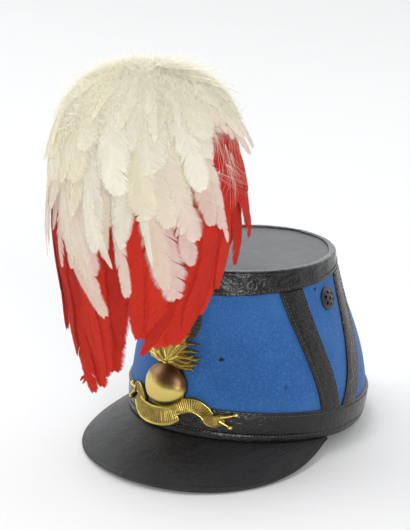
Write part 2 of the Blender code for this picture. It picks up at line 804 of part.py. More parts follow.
def feather_layer(name, locks, notch, outside, collar, finish, parent):
    """Layer of broad locks, fused at the top of the plume and cut between their tips."""
    shares = (0.0, 0.015, 0.05, 0.11, 0.2, 0.34, 0.5, 0.66, 0.8, 0.91, 1.0)
    inner_rows = (0, 1, 2, 3, 4, 5, 6, 8, 10) if collar is None else (0, 2, 3, 4, 5, 7, 10)
    sink = 0.0 if collar is None else LOCK_RELIEF
    sections = []
    for turn in angles(PLUME_COLUMNS):
        hem, crest = lock_hem(locks, notch, turn)
        hem = clear_hem(turn, hem, outside - FEATHER_WALL)
        relief = LOCK_RELIEF * crest
        outer = []
        inner = []
        for index, share in enumerate(shares):
            grown = min(1.0, 3.0 * share)
            surface = outside + (relief - sink) * grown
            wall = FEATHER_WALL * (1.0 - 0.5 * share)
            outer.append(plume_point(turn, hem * share, surface))
            if index in inner_rows:
                inner.append(plume_point(turn, hem * share, surface - wall))
        if collar is not None:
            axis = plume_frame() @ Vector((collar * math.sin(turn), -collar * math.cos(turn), outside))
            lower = plume_frame() @ Vector((0.0, 0.0, -FEATHER_WALL)) - plume_frame().translation
            outer[0] = axis
            inner[0] = axis + lower
        sections.append(outer + inner[::-1])
    vertices, faces = swept(sections, around=True, closed=collar is not None)
    return piece(name, vertices, faces, finish, parent, sharp=60.0)


def make_stem(parent):
    """Wire stem that stands against the crown band and carries the feathers at its top."""
    frame = plume_frame()
    foot_share = 1.0 - (CROWN_BAND_FRONT - STEM_FOOT_RISE) / CROWN_HEIGHT
    out = SEAT_GAP * 2 + LEATHER + STEM_RADIUS
    foot = crown_point(foot_share, 0.0, out)
    heel = crown_point(1.0, 0.0, out + STEM_SPRING, TOP_THICKNESS + LIP_THICKNESS)
    first = UMBRELLA[1]
    fall = first["drop"] * PLUME_DROP / (first["radius"] * PLUME_RADIUS)
    head = frame @ Vector((0.0, 0.0, -SEAT_GAP - 1.3 * fall * STEM_RADIUS))
    neck = frame @ Vector((0.0, 0.0, -0.12 * PLUME_DROP))
    rows = [{"x": point.x, "y": point.y, "z": point.z}
            for point in (foot, blend(foot, heel, 0.5), heel, blend(heel, neck, 0.5), neck, head)]
    path = curve_through(rows, ("x", "y", "z"), STEM_POINTS)
    curve = bpy.data.curves.new("plume_stem", "CURVE")
    curve.dimensions = "3D"
    curve.bevel_depth = STEM_RADIUS
    curve.bevel_resolution = 2
    curve.use_fill_caps = True
    spline = curve.splines.new("POLY")
    spline.points.add(len(path) - 1)
    for spot, place in zip(spline.points, path):
        spot.co = (*place, 1.0)
    stem = bpy.data.objects.new("plume_stem", curve)
    stem.data.materials.append(material("plume_stem", STEEL_WIRE))
    stem.parent = parent
    bpy.context.scene.collection.objects.link(stem)
    return stem


# How the hat rests

def rest_lean(rim_points, peak_points):
    """Lean that brings the rear of the rim and the edge of the peak to one level."""
    def lowest(points, lean):
        return min(point.z * math.cos(lean) - point.y * math.sin(lean) for point in points)

    low = 0.0
    high = math.radians(40.0)
    for _ in range(40):
        middle = (low + high) / 2
        if lowest(peak_points, middle) < lowest(rim_points, middle):
            low = middle
        else:
            high = middle
    return (low + high) / 2


def model_box(pieces):
    """Lowest and highest corners of the evaluated pieces."""
    bpy.context.view_layer.update()
    graph = bpy.context.evaluated_depsgraph_get()
    corners = []
    for made in pieces:
        shown = made.evaluated_get(graph)
        mesh = shown.to_mesh()
        corners += [shown.matrix_world @ vertex.co for vertex in mesh.vertices]
        shown.to_mesh_clear()
    low = Vector(min(corner[axis] for corner in corners) for axis in range(3))
    high = Vector(max(corner[axis] for corner in corners) for axis in range(3))
    return low, high


def build():
    """Build every piece, lean the hat to its rest and put the origin under its middle."""
    clear_scene()
    hat = bpy.data.objects.new("hat_frame", None)
    bpy.context.scene.collection.objects.link(hat)

    rim = base_band_sections()
    peak = peak_sections()
    pieces = [
        make_crown_body(hat),
        make_crown_top(hat),
        make_crown_band(hat),
        piece("base_band", *swept(rim, around=True), BLACK_LEATHER, hat),
        piece("peak", *swept(peak), PEAK_LEATHER, hat),
    ]
    for side, hand in ((1, "left"), (-1, "right")):
        for name, strap in STRAPS.items():
            pieces.append(make_strap(f"{name}_{hand}", strap, side, hat))
        pieces.append(make_vent(f"vent_{hand}", side, hat))
    pieces.append(make_cockade(hat))
    pieces.append(make_badge(hat))
    white_outside = FEATHER_WALL
    red_outside = -LAYER_GAP
    pieces.append(feather_layer("plume_white", WHITE_LOCKS, WHITE_NOTCH, white_outside, None,
                                WHITE_FEATHER, hat))
    pieces.append(feather_layer("plume_red", RED_LOCKS, RED_NOTCH, red_outside,
                                STEM_RADIUS + SEAT_GAP, RED_FEATHER, hat))
    pieces.append(make_stem(hat))

    rim_points = [point for section in rim for point in section]
    peak_points = [point for section in peak for point in section]
    hat.rotation_euler.x = -rest_lean(rim_points, peak_points)
    low, high = model_box(pieces)
    hat.location = (-(low.x + high.x) / 2, -(low.y + high.y) / 2, -low.z)
    bpy.context.view_layer.update()


build()
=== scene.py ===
import math

import bmesh
import bpy
import numpy as np
from mathutils import Matrix, Vector
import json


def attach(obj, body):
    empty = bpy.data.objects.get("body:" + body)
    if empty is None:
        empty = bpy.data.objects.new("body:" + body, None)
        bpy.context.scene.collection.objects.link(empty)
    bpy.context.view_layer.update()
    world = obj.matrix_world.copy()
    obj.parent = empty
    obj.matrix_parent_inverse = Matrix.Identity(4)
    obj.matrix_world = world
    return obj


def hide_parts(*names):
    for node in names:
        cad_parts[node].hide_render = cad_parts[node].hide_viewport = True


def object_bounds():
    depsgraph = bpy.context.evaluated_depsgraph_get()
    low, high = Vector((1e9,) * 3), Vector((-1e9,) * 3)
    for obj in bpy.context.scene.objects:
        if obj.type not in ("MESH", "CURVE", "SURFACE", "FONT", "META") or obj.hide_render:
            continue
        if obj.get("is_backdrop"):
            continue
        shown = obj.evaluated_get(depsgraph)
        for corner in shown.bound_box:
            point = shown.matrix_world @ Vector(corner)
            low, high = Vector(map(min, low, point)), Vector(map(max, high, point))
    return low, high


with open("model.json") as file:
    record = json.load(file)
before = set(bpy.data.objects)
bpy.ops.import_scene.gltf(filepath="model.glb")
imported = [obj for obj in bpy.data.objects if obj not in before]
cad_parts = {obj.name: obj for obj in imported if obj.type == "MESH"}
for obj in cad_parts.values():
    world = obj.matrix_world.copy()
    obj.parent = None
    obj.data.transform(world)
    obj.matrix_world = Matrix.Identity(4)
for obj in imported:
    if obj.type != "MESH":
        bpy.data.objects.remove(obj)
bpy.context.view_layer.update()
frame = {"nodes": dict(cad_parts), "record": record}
MM = 0.001

# The surface the hat stands on, with its light and the photograph's view.
# The hat rests by itself on the rear of its rim and the edge of its peak. The rim's place and lean
# come from the record, and every hat piece below is shaped in the rim's frame and set down by HAT.
opening = next(m for m in frame["record"]["mounts"] if m["name"] == "head_opening")
hat_lean = math.asin(opening["axis"][1])
HAT = Matrix.Translation(opening["pos_m"]) @ Matrix.Rotation(hat_lean, 4, "X")

VIEW_AZIMUTH = math.radians(36.755)
VIEW_ELEVATION = math.radians(18.741)
VIEW_DISTANCE = 1.1415
VIEW_ROLL = math.radians(0.499)
SENSOR = 36.0
FOCAL_PIXELS = 1543.6
PICTURE_HEIGHT = 530
AIM_SIDE = -33.3 * MM
AIM_UP = 1.0 * MM
AIM_ABOVE_RIM = 106.7 * MM
target = Vector(opening["pos_m"]) + Vector((0.0, 0.0, AIM_ABOVE_RIM))


def added(name, data):
    """New object of some data, in the scene."""
    made = bpy.data.objects.new(name, data)
    bpy.context.scene.collection.objects.link(made)
    return made


def table(columns, *rows):
    """Rows as dictionaries under the names of their columns."""
    return [dict(zip(columns.split(), row)) for row in rows]


back = Vector((math.sin(VIEW_AZIMUTH) * math.cos(VIEW_ELEVATION),
               -math.cos(VIEW_AZIMUTH) * math.cos(VIEW_ELEVATION), math.sin(VIEW_ELEVATION)))
right = Vector((math.cos(VIEW_AZIMUTH), math.sin(VIEW_AZIMUTH), 0.0))
camera = added("camera", bpy.data.cameras.new("camera"))
camera.data.sensor_width = SENSOR
camera.data.lens = SENSOR * FOCAL_PIXELS / PICTURE_HEIGHT
camera.location = target + back * VIEW_DISTANCE
aim = target + right * AIM_SIDE + back.cross(right) * AIM_UP
look = (aim - camera.location).to_track_quat("-Z", "Y").to_matrix().to_4x4()
camera.rotation_euler = (look @ Matrix.Rotation(VIEW_ROLL, 4, "Z")).to_euler()
bpy.context.scene.camera = camera
bpy.context.scene.view_settings.view_transform = "Standard"


class Link:
    """A shader output that can stand in a sum, with numbers or other outputs."""

    def __init__(self, finish, socket):
        self.finish = finish
        self.socket = socket

    def math(self, operation, *others):
        values = dict(enumerate((self,) + others))
        return self.finish.node("ShaderNodeMath", {"operation": operation}, values)

    def __add__(self, other):
        return self.math("ADD", other)

    __radd__ = __add__

    def __sub__(self, other):
        return self.math("SUBTRACT", other)

    def __rsub__(self, other):
        return (self * -1.0) + other

    def __mul__(self, other):
        return self.math("MULTIPLY", other)

    __rmul__ = __mul__

    def between(self, low, high):
        """0 below low, 1 above high and smooth between them."""
        inputs = {0: self, 1: low, 2: high}
        return self.finish.node("ShaderNodeMapRange", {"interpolation_type": "SMOOTHSTEP"}, inputs)


class Finish:
    """A material on one Principled shader, whose other nodes are added one at a time."""

    def __init__(self, name, colour, roughness, **constants):
        self.material = bpy.data.materials.new(name)
        self.material.use_nodes = True
        self.tree = self.material.node_tree
        self.shader = self.tree.nodes["Principled BSDF"]
        self.output = self.tree.nodes["Material Output"]
        self.material.diffuse_color = (*colour, 1.0)
        self.set("Base Color", (*colour, 1.0))
        self.set("Roughness", roughness)
        for socket, value in constants.items():
            self.set(socket.replace("_", " "), value)

    def set(self, socket, value):
        """Give one of the shader's sockets a value or a link."""
        self.join(value, self.shader.inputs[socket])

    def join(self, value, socket):
        """Link a socket to an output, or set its plain value."""
        if isinstance(value, Link):
            self.tree.links.new(value.socket, socket)
        elif isinstance(value, tuple) and len(value) == 3 and len(socket.default_value) == 4:
            socket.default_value = (*value, 1.0)
        else:
            socket.default_value = value

    def node(self, kind, settings=None, inputs=None, output=0):
        """Any other node, by its type, its settings and its inputs."""
        made = self.tree.nodes.new(kind)
        for name, value in (settings or {}).items():
            setattr(made, name, value)
        for name, value in (inputs or {}).items():
            self.join(value, made.inputs[name])
        return Link(self, made.outputs[output])

    def place(self, source="Object"):
        """Coordinates in the hat's own space, or along the piece's UV map."""
        return self.node("ShaderNodeTexCoord", output=source)

    def stretch(self, vector, scale):
        """Coordinates scaled by a number for each axis."""
        return self.node("ShaderNodeMapping", None, {"Vector": vector, "Scale": scale})

    def noise(self, vector, scale, detail=3.0, roughness=0.55, distortion=0.0):
        inputs = {"Vector": vector, "Scale": scale, "Detail": detail, "Roughness": roughness,
                  "Distortion": distortion}
        return self.node("ShaderNodeTexNoise", None, inputs)

    def cells(self, vector, scale):
        return self.node("ShaderNodeTexVoronoi", None, {"Vector": vector, "Scale": scale})

    def mix(self, first, second, factor):
        """Colour between two others."""
        return self.node("ShaderNodeMix", {"data_type": "RGBA"}, {0: factor, 6: first, 7: second}, 2)

    def number(self, name):
        """Number painted on the piece under a name."""
        return self.node("ShaderNodeAttribute", {"attribute_name": name}, None, "Fac")

    def bump(self, height, strength, distance, under=None):
        inputs = {"Height": height, "Strength": strength, "Distance": distance}
        if under:
            inputs["Normal"] = under
        return self.node("ShaderNodeBump", None, inputs)


floor_finish = Finish("floor_paper", (0.70, 0.70, 0.70), 0.9, Specular_IOR_Level=0.2)
paper = floor_finish.noise(floor_finish.place(), 3.0)
floor_finish.set("Base Color", floor_finish.mix((0.69, 0.69, 0.69), (0.72, 0.72, 0.72), paper))
FLOOR_HALF = 8.0
floor_mesh = bpy.data.meshes.new("floor")
floor_corners = [(x * FLOOR_HALF, y * FLOOR_HALF, 0) for x, y in ((-1, -1), (1, -1), (1, 1), (-1, 1))]
floor_mesh.from_pydata(floor_corners, [], [(0, 1, 2, 3)])
floor_mesh.materials.append(floor_finish.material)
floor = added("floor", floor_mesh)
floor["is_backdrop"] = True


def tree_node(tree, kind, settings=None, inputs=None):
    """Outputs of a new node, whose inputs take plain values or other nodes' outputs."""
    made = tree.nodes.new(kind)
    for name, value in (settings or {}).items():
        setattr(made, name, value)
    for name, value in (inputs or {}).items():
        if isinstance(value, bpy.types.NodeSocket):
            tree.links.new(value, made.inputs[name])
        else:
            made.inputs[name].default_value = value
    return made.outputs


# White paper stands bright behind the hat, and the room on the camera's side is dimmer.
PAPER_LIGHT = 1.46
ROOM_LIGHT = 0.28
world = bpy.data.worlds.new("studio")
world.use_nodes = True
sky = world.node_tree
heading = tree_node(sky, "ShaderNodeTexCoord")
facing = tree_node(sky, "ShaderNodeVectorMath", {"operation": "DOT_PRODUCT"},
                   {0: heading["Generated"], 1: Vector((back.x, back.y, 0.25)).normalized()})
dimmed = tree_node(sky, "ShaderNodeMapRange", {"interpolation_type": "SMOOTHSTEP"},
                   {0: facing["Value"], 1: -0.25, 2: 0.65, 3: PAPER_LIGHT, 4: ROOM_LIGHT})
sky.links.new(dimmed[0], sky.nodes["Background"].inputs["Strength"])
sky.nodes["Background"].inputs["Color"].default_value = (0.975, 0.99, 1.0, 1.0)
bpy.context.scene.world = world
LAMPS = table("name place size power",
              ("window", (3.6, -3.0, 1.9), 2.4, 150.0), ("overhead", (-0.5, -1.0, 4.8), 1.8, 80.0),
              ("side", (-3.7, -1.7, 2.1), 2.2, 56.0))
for lamp in LAMPS:
    data = bpy.data.lights.new(lamp["name"], "AREA")
    data.size = lamp["size"]
    data.energy = lamp["power"]
    light = added(lamp["name"], data)
    light.location = lamp["place"]
    light.rotation_euler = (target - Vector(lamp["place"])).to_track_quat("-Z", "Y").to_euler()


# The crown: a stiff felt shell covered with blue wool cloth, tapered and leaning forward.
# It is open at the rim and under the leather top. The cloth is fulled and faded, with a few
# moth holes, dented in and painted dark as painted shade, and the bare grey felt shows inside.
BASE_HALF_WIDTH = 80.7 * MM
BASE_HALF_LENGTH = 101.4 * MM
TOP_HALF_WIDTH = 59.8 * MM
TOP_HALF_LENGTH = 72.1 * MM
CROWN_HEIGHT = 118.2 * MM
CROWN_FORWARD = 19.9 * MM
CROWN_TILT = math.radians(4.0)
SIDE_BULGE = 9.5 * MM
REAR_BULGE = 6.9 * MM
RIM_DIP = 3.5 * MM
BASE_EGG = 0.008
TOP_EGG = 0.034
ROUNDNESS = 1.05
RIM_INSET = 1.0 * MM
FELT_WALL = 3.0 * MM
SEAT_GAP = 0.3 * MM
LEATHER = 1.5 * MM
CROWN_COLUMNS = 288
CLOTH_ROWS = 70
FELT_ROWS = 16
CROWN_RADIUS = 80 * MM
BULGE_FACTOR = 6.75
CLOTH_SAG = 0.25 * MM
SAG_LOWEST = 0.2
SAG_HIGHEST = 0.88
MOTH_DEPTH = 0.7 * MM


def signed_power(value, power):
    return np.sign(value) * np.abs(value) ** power


def crown_ring(share):
    """Half width, half length and middle of the crown's level ring at a share of its height."""
    bulge = BULGE_FACTOR * share * (1.0 - share) ** 2
    half_width = BASE_HALF_WIDTH + (TOP_HALF_WIDTH - BASE_HALF_WIDTH) * share + SIDE_BULGE * bulge
    front = -BASE_HALF_LENGTH + (BASE_HALF_LENGTH - CROWN_FORWARD - TOP_HALF_LENGTH) * share
    rear = BASE_HALF_LENGTH + (TOP_HALF_LENGTH - CROWN_FORWARD - BASE_HALF_LENGTH) * share
    rear = rear + REAR_BULGE * bulge
    return half_width, (rear - front) / 2, (rear + front) / 2


def crown_point(share, angle, out=0.0, up=0.0):
    """Points at angles from the front, pushed out from the cloth and up from their ring's plane."""
    share, angle, out, up = np.broadcast_arrays(*(np.asarray(v, float) for v in (share, angle, out, up)))
    half_width, half_length, middle = crown_ring(share)
    egg = BASE_EGG + (TOP_EGG - BASE_EGG) * share
    across = half_width * signed_power(np.sin(angle), ROUNDNESS) * (1.0 - egg * np.cos(angle))
    along = -half_length * signed_power(np.cos(angle), ROUNDNESS)
    slope = np.stack((across / half_width ** 2, along / half_length ** 2), -1)
    slope = slope / np.linalg.norm(slope, axis=-1, keepdims=True)
    across = across + out * slope[..., 0]
    along = along + out * slope[..., 1]
    tilt = CROWN_TILT * share
    dip = RIM_DIP * (1.0 - share) * np.sin(angle) ** 2
    return np.stack((across, middle + along * np.cos(tilt) - up * np.sin(tilt),
                     CROWN_HEIGHT * share + along * np.sin(tilt) + up * np.cos(tilt) - dip), -1)


def run_along(points, axis=0):
    """Length walked along a grid's rows or columns, from its first line."""
    steps = np.linalg.norm(np.diff(points, axis=axis), axis=-1)
    start = np.zeros_like(np.take(steps, [0], axis))
    return np.concatenate((start, np.cumsum(steps, axis=axis)), axis=axis)


def moved(points, matrix):
    """Points taken through a matrix."""
    turn = np.array(matrix, float)
    return points @ turn[:3, :3].T + turn[:3, 3]


def skin(name, points, finishes, ring=False, tube=False, caps=False, numbers=None, choose=None,
         sharp=50.0, in_hat=True):
    """Mesh object through a grid of points, rows first, with a real-size UV map.

    ring closes the rows into a loop and tube the columns. numbers are painted on the points, and
    choose gives each face's finish."""
    points = np.asarray(points, float)
    rows, columns = points.shape[:2]
    flat = points.reshape(-1, 3)
    if in_hat:
        flat = moved(flat, HAT)
    row = np.arange(rows if ring else rows - 1)[:, None]
    column = np.arange(columns if tube else columns - 1)[None, :]
    next_row = (row + 1) % rows
    next_column = (column + 1) % columns
    corners = np.stack([row * columns + column, row * columns + next_column,
                        next_row * columns + next_column, next_row * columns + column], -1)
    faces = corners.reshape(-1, 4).tolist()
    if caps:
        faces.append(list(range(columns))[::-1])
        faces.append(list(range((rows - 1) * columns, rows * columns)))
    mesh = bpy.data.meshes.new(name)
    mesh.from_pydata(flat.tolist(), [], faces)
    closed = np.concatenate((points, points[:1]), 0) if ring else points
    closed = np.concatenate((closed, closed[:, :1]), 1) if tube else closed
    walked = np.stack((run_along(closed, 0), run_along(closed, 1)), -1)
    loops = np.stack((walked[:-1, :-1], walked[:-1, 1:], walked[1:, 1:], walked[1:, :-1]), 2).reshape(-1, 2)
    layer = mesh.uv_layers.new(name="surface")
    values = np.zeros((len(mesh.loops), 2), np.float32)
    values[:len(loops)] = loops
    layer.data.foreach_set("uv", values.ravel())
    for label, grid in (numbers or {}).items():
        attribute = mesh.attributes.new(label, "FLOAT", "POINT")
        attribute.data.foreach_set("value", np.asarray(grid, np.float32).ravel())
    for finish in finishes:
        mesh.materials.append(finish.material)
    if choose is not None:
        index = np.zeros(len(mesh.polygons), np.int32)
        index[:choose.size] = choose.ravel()
        mesh.polygons.foreach_set("material_index", index)
    tidy = bmesh.new()
    tidy.from_mesh(mesh)
    bmesh.ops.remove_doubles(tidy, verts=tidy.verts, dist=0.002 * MM)
    bmesh.ops.dissolve_degenerate(tidy, dist=0.001 * MM, edges=tidy.edges)
    bmesh.ops.recalc_face_normals(tidy, faces=tidy.faces)
    tidy.to_mesh(mesh)
    tidy.free()
    mesh.shade_smooth()
    mesh.set_sharp_from_angle(angle=math.radians(sharp))
    return added(name, mesh)


def keep(piece, slot, *nodes):
    """A finished piece rides on the hat and hides the CAD nodes that it stands for. Its slot is not used."""
    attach(piece, "root")
    if nodes:
        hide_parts(*nodes)
    return piece


def around(count):
    return np.linspace(0.0, 2 * math.pi, count, endpoint=False)


def ripple(first, second, sizes, seed):
    """Soft irregular relief from -1 to 1, a sum of waves in two lengths."""
    pick = np.random.default_rng(seed)
    total = 0.0
    weight = 0.0
    for size in sizes:
        for _ in range(4):
            heading = pick.uniform(0, 2 * math.pi)
            phase = pick.uniform(0, 2 * math.pi)
            wave = 2 * math.pi / (size * pick.uniform(0.7, 1.4))
            across = first * math.cos(heading) + second * math.sin(heading)
            total = total + size * np.sin(wave * across + phase)
            weight += size
    return total / weight * 2.0


cloth = Finish("blue_cloth", (0.018, 0.080, 0.245), 0.95, Sheen_Weight=0.12, Sheen_Roughness=0.5,
               Specular_IOR_Level=0.12)
spot = cloth.place()
nap = cloth.noise(spot, 1300.0, 4.0, 0.75)
fulled = cloth.noise(spot, 480.0, 5.0, 0.75)
patches = cloth.noise(spot, 22.0, 4.0, 0.6)
faded = cloth.mix((0.024, 0.098, 0.285), (0.036, 0.128, 0.355), patches.between(0.33, 0.68))
fibres = cloth.mix(faded, (0.072, 0.185, 0.42), fulled.between(0.48, 0.72) * 0.7)
fibres = cloth.mix(fibres, (0.010, 0.045, 0.150), nap.between(0.45, 0.68) * 0.65)
# The moth holes are dented in and painted nearly black as painted shade inside them.
hole_painted_shade = cloth.number("moth").between(0.15, 0.6)
cloth.set("Base Color", cloth.mix(fibres, (0.022, 0.016, 0.015), hole_painted_shade))
cloth.set("Normal", cloth.bump(nap * 0.6 + fulled - hole_painted_shade * 1.5, 0.45, 0.3 * MM))

felt = Finish("grey_felt", (0.10, 0.088, 0.075), 0.95, Specular_IOR_Level=0.2)
wool = felt.noise(felt.place(), 700.0, 5.0, 0.7)
stain = felt.noise(felt.place(), 40.0, 3.0)
felt.set("Base Color", felt.mix(felt.mix((0.085, 0.072, 0.060), (0.145, 0.128, 0.108), wool),
                                (0.05, 0.042, 0.036), stain.between(0.5, 0.75) * 0.6))
felt.set("Normal", felt.bump(wool, 0.5, 0.4 * MM))

MOTH_HOLES = table("angle height radius",
                   (28.0, 59.0, 1.3), (58.0, 41.0, 1.0), (88.0, 104.0, 1.0), (22.0, 41.0, 0.8),
                   (-64.0, 77.0, 0.9), (170.0, 52.0, 1.0))
turns = around(CROWN_COLUMNS)[:, None]
rim_share = RIM_INSET / CROWN_HEIGHT
outer_shares = np.linspace(rim_share, 1.0, CLOTH_ROWS)[None, :]
inner_shares = np.linspace(1.0, rim_share, FELT_ROWS)[None, :]
outer_wall = crown_point(outer_shares, turns)
arc = outer_wall[..., 0] * 0 + turns * CROWN_RADIUS
sag = CLOTH_SAG * ripple(arc, outer_shares * CROWN_HEIGHT, (35 * MM, 18 * MM), 4)
held = np.clip(np.minimum(outer_shares - SAG_LOWEST, SAG_HIGHEST - outer_shares) / 0.1, 0.0, 1.0)
moth = np.zeros(outer_wall.shape[:2])
for hole in MOTH_HOLES:
    centre = crown_point(hole["height"] * MM / CROWN_HEIGHT, math.radians(hole["angle"]))
    apart = np.linalg.norm(outer_wall - centre, axis=-1)
    moth = np.maximum(moth, np.clip(1.6 - apart / (hole["radius"] * MM), 0.0, 1.0))
outer_wall = crown_point(outer_shares, turns, sag * held - MOTH_DEPTH * moth)
inner_wall = crown_point(inner_shares, turns, -FELT_WALL)
inside = np.zeros((CROWN_COLUMNS, CLOTH_ROWS + FELT_ROWS), int)
inside[:, CLOTH_ROWS - 1:] = 1
crown_cloth = skin("crown_cloth", np.concatenate((outer_wall, inner_wall), 1), [cloth, felt],
                   ring=True, tube=True, choose=inside,
                   numbers={"moth": np.concatenate((moth, np.zeros((CROWN_COLUMNS, FELT_ROWS))), 1)})
keep(crown_cloth, "cloth", "crown_body")


# The leather top: one flat oval of smooth black leather, a little hollow in the middle.
# It lies on the shell's upper edge under the turned-in lip of the crown band. Its colour is
# lightened to grey as painted sheen, with faint scuffed streaks.
TOP_THICKNESS = 2.2 * MM
TOP_HOLLOW = 0.9 * MM
TOP_RINGS = 26


def leather(name, dark, worn, roughness, grain, crease, source="UV", depth=0.5, pit=0.12 * MM, **constants):
    """Black leather with pores, creases and edges rubbed back to brown in places."""
    made = Finish(name, dark, roughness, **constants)
    spot = made.place(source)
    pores = made.cells(spot, grain)
    fine = made.noise(spot, grain * 1.7, 3.0, 0.6)
    folds = made.noise(spot, crease, 2.5, 0.5, 0.8)
    cloudy = made.noise(spot, 45.0, 4.0, 0.6)
    flecks = made.noise(spot, 700.0, 4.0, 0.75)
    colour = made.mix(dark, tuple(1.8 * c for c in dark), cloudy.between(0.4, 0.75))
    colour = made.mix(colour, tuple(4.0 * c for c in dark), flecks.between(0.64, 0.82) * 0.5)
    rubbed = (made.number("edge") * (0.1 + fine * 0.7 + cloudy * 0.9)).between(0.55, 0.95)
    colour = made.mix(colour, worn, rubbed * 0.8)
    # Upward faces are greyed by dust and painted sheen.
    colour = made.mix(colour, (0.052, 0.053, 0.056), made.number("dust") * (0.4 + cloudy))
    made.set("Base Color", colour)
    made.set("Roughness", roughness + 0.16 * cloudy - 0.10 * folds + rubbed * 0.2)
    relief = made.bump(pores.between(0.05, 0.5) + fine * 0.5, 0.6, pit)
    made.set("Normal", made.bump(folds.between(0.25, 0.75), depth, 0.9 * MM, relief))
    return made


# The top's grey colour is painted sheen over black leather, with scuffed streaks.
top_leather = leather("top_leather", (0.045, 0.046, 0.049), (0.10, 0.09, 0.08), 0.40, 1500.0, 60.0,
                      "Object", 0.25, Specular_IOR_Level=0.5)
shares = np.linspace(0.0, 1.0, TOP_RINGS)
rim_top = crown_point(1.0, turns, 0.0, SEAT_GAP + TOP_THICKNESS)
rim_low = crown_point(1.0, turns, 0.0, SEAT_GAP)
heart_top = rim_top.mean(0, keepdims=True)
heart_low = rim_low.mean(0, keepdims=True)
rings = []
for share in shares:
    dished = np.array((0.0, 0.0, -TOP_HOLLOW * (1.0 - share ** 2) ** 2))
    rings.append(heart_top + (rim_top - heart_top) * share + dished)
for share in shares[::-5]:
    rings.append(heart_low + (rim_low - heart_low) * share)
disc = np.concatenate(rings, 1)
crown_disc = skin("crown_disc", disc, [top_leather], ring=True,
                  numbers={"edge": np.zeros(disc.shape[:2])})
keep(crown_disc, "top_leather", "crown_top")


# The bands: strips of black leather, one round the top and turned in over the disc,
# one round the rim. Both are sewn through the cloth with linen thread a little inside
# their free edges, which wear has rubbed brown.
BASE_BAND_HEIGHT = 22.6 * MM
CROWN_BAND_FRONT = 14.2 * MM
CROWN_BAND_REAR = 5.0 * MM
LIP_REACH = 3.2 * MM
LIP_THICKNESS = 1.0 * MM
BAND_COLUMNS = 360
EDGE_ROUND = 0.45 * MM
STITCH_INSET = 2.2 * MM
STITCH_PITCH = 2.6 * MM
STITCH_LENGTH = 1.9 * MM
THREAD_RADIUS = 0.32 * MM
GROOVE_HALF_WIDTH = 0.5 * MM
CROWN_GROOVE = 0.18 * MM
CROWN_BAND_WAVES = 0.24 * MM
BASE_BAND_WAVES = 0.14 * MM
LIP_WANDER = 0.5 * MM
LOWER_SEAM_RISE = 0.235
SEAM_DEPTH = 0.1 * MM
LOWER_SEAM_DEPTH = 0.35 * MM
BAND_RADIUS = 75 * MM

band_leather = leather("band_leather", (0.0036, 0.0036, 0.0042), (0.075, 0.045, 0.028), 0.18, 1250.0, 340.0,
                       depth=0.34, pit=0.035 * MM, Specular_IOR_Level=0.42)
thread = Finish("waxed_thread", (0.08, 0.058, 0.040), 0.7)
twist = thread.noise(thread.place(), 2600.0, 2.0)
thread.set("Base Color", thread.mix((0.035, 0.026, 0.019), (0.14, 0.10, 0.066), twist))


def node_group(name, inputs):
    """Geometry tree with a geometry input and named number inputs, and its inputs' outputs."""
    tree = bpy.data.node_groups.new(name, "GeometryNodeTree")
    tree.interface.new_socket("Geometry", in_out="INPUT", socket_type="NodeSocketGeometry")
    for label in inputs:
        tree.interface.new_socket(label, in_out="INPUT", socket_type="NodeSocketFloat")
    tree.interface.new_socket("Geometry", in_out="OUTPUT", socket_type="NodeSocketGeometry")
    return tree, tree.nodes.new("NodeGroupInput").outputs


def hand_out(tree, instances, material):
    """End a tree with its instances realised in one material."""
    real = tree_node(tree, "GeometryNodeRealizeInstances", None, {"Geometry": instances})
    painted = tree_node(tree, "GeometryNodeSetMaterial", None, {"Geometry": real[0], "Material": material})
    tree.links.new(painted[0], tree.nodes.new("NodeGroupOutput").inputs["Geometry"])


def grow(name, guide, tree, values):
    """Plain mesh that a geometry tree makes on a guide, which is then removed."""
    modifier = guide.modifiers.new(name, "NODES")
    modifier.node_group = tree
    for item in tree.interface.items_tree:
        if item.in_out == "INPUT" and item.name in values:
            modifier[item.identifier] = values[item.name]
    graph = bpy.context.evaluated_depsgraph_get()
    mesh = bpy.data.meshes.new_from_object(guide.evaluated_get(graph), depsgraph=graph)
    guide.modifiers.remove(modifier)
    mesh.name = name
    made = added(name, mesh)
    bpy.data.objects.remove(guide)
    made.name = name
    return made


def guide_curve(name, lines):
    """Curve object through lines of points in the hat's frame, each with whether it closes."""
    data = bpy.data.curves.new(name, "CURVE")
    data.dimensions = "3D"
    for points, closes in lines:
        spline = data.splines.new("POLY")
        spline.points.add(len(points) - 1)
        placed = np.concatenate((moved(points, HAT), np.ones((len(points), 1))), 1)
        spline.points.foreach_set("co", placed.ravel())
        spline.use_cyclic_u = closes
    return added(name, data)


stitch_tree, given = node_group("stitches", ("Pitch", "Length", "Thread radius"))
spaced = tree_node(stitch_tree, "GeometryNodeCurveToPoints", {"mode": "LENGTH"},
                   {"Curve": given["Geometry"], "Length": given["Pitch"]})
bead = tree_node(stitch_tree, "GeometryNodeMeshUVSphere", None,
                 {"Segments": 6, "Rings": 5, "Radius": given["Thread radius"]})
ratio = tree_node(stitch_tree, "ShaderNodeMath", {"operation": "DIVIDE"},
                  {0: given["Length"], 1: given["Thread radius"]})
half = tree_node(stitch_tree, "ShaderNodeMath", {"operation": "MULTIPLY"}, {0: ratio[0], 1: 0.5})
long_way = tree_node(stitch_tree, "ShaderNodeCombineXYZ", None, {"X": 1.0, "Y": 1.0, "Z": half[0]})
sewn = tree_node(stitch_tree, "GeometryNodeInstanceOnPoints", None,
                 {"Points": spaced["Points"], "Instance": bead["Mesh"], "Rotation": spaced["Rotation"],
                  "Scale": long_way[0]})
hand_out(stitch_tree, sewn["Instances"], thread.material)


def stitch(name, lines, slot="band_leather", pitch=STITCH_PITCH, length=STITCH_LENGTH):
    """Row of stitches along lines on the leather."""
    made = grow(name, guide_curve(name, lines), stitch_tree,
                {"Pitch": pitch, "Length": length, "Thread radius": THREAD_RADIUS})
    made.data.shade_smooth()
    return keep(made, slot)


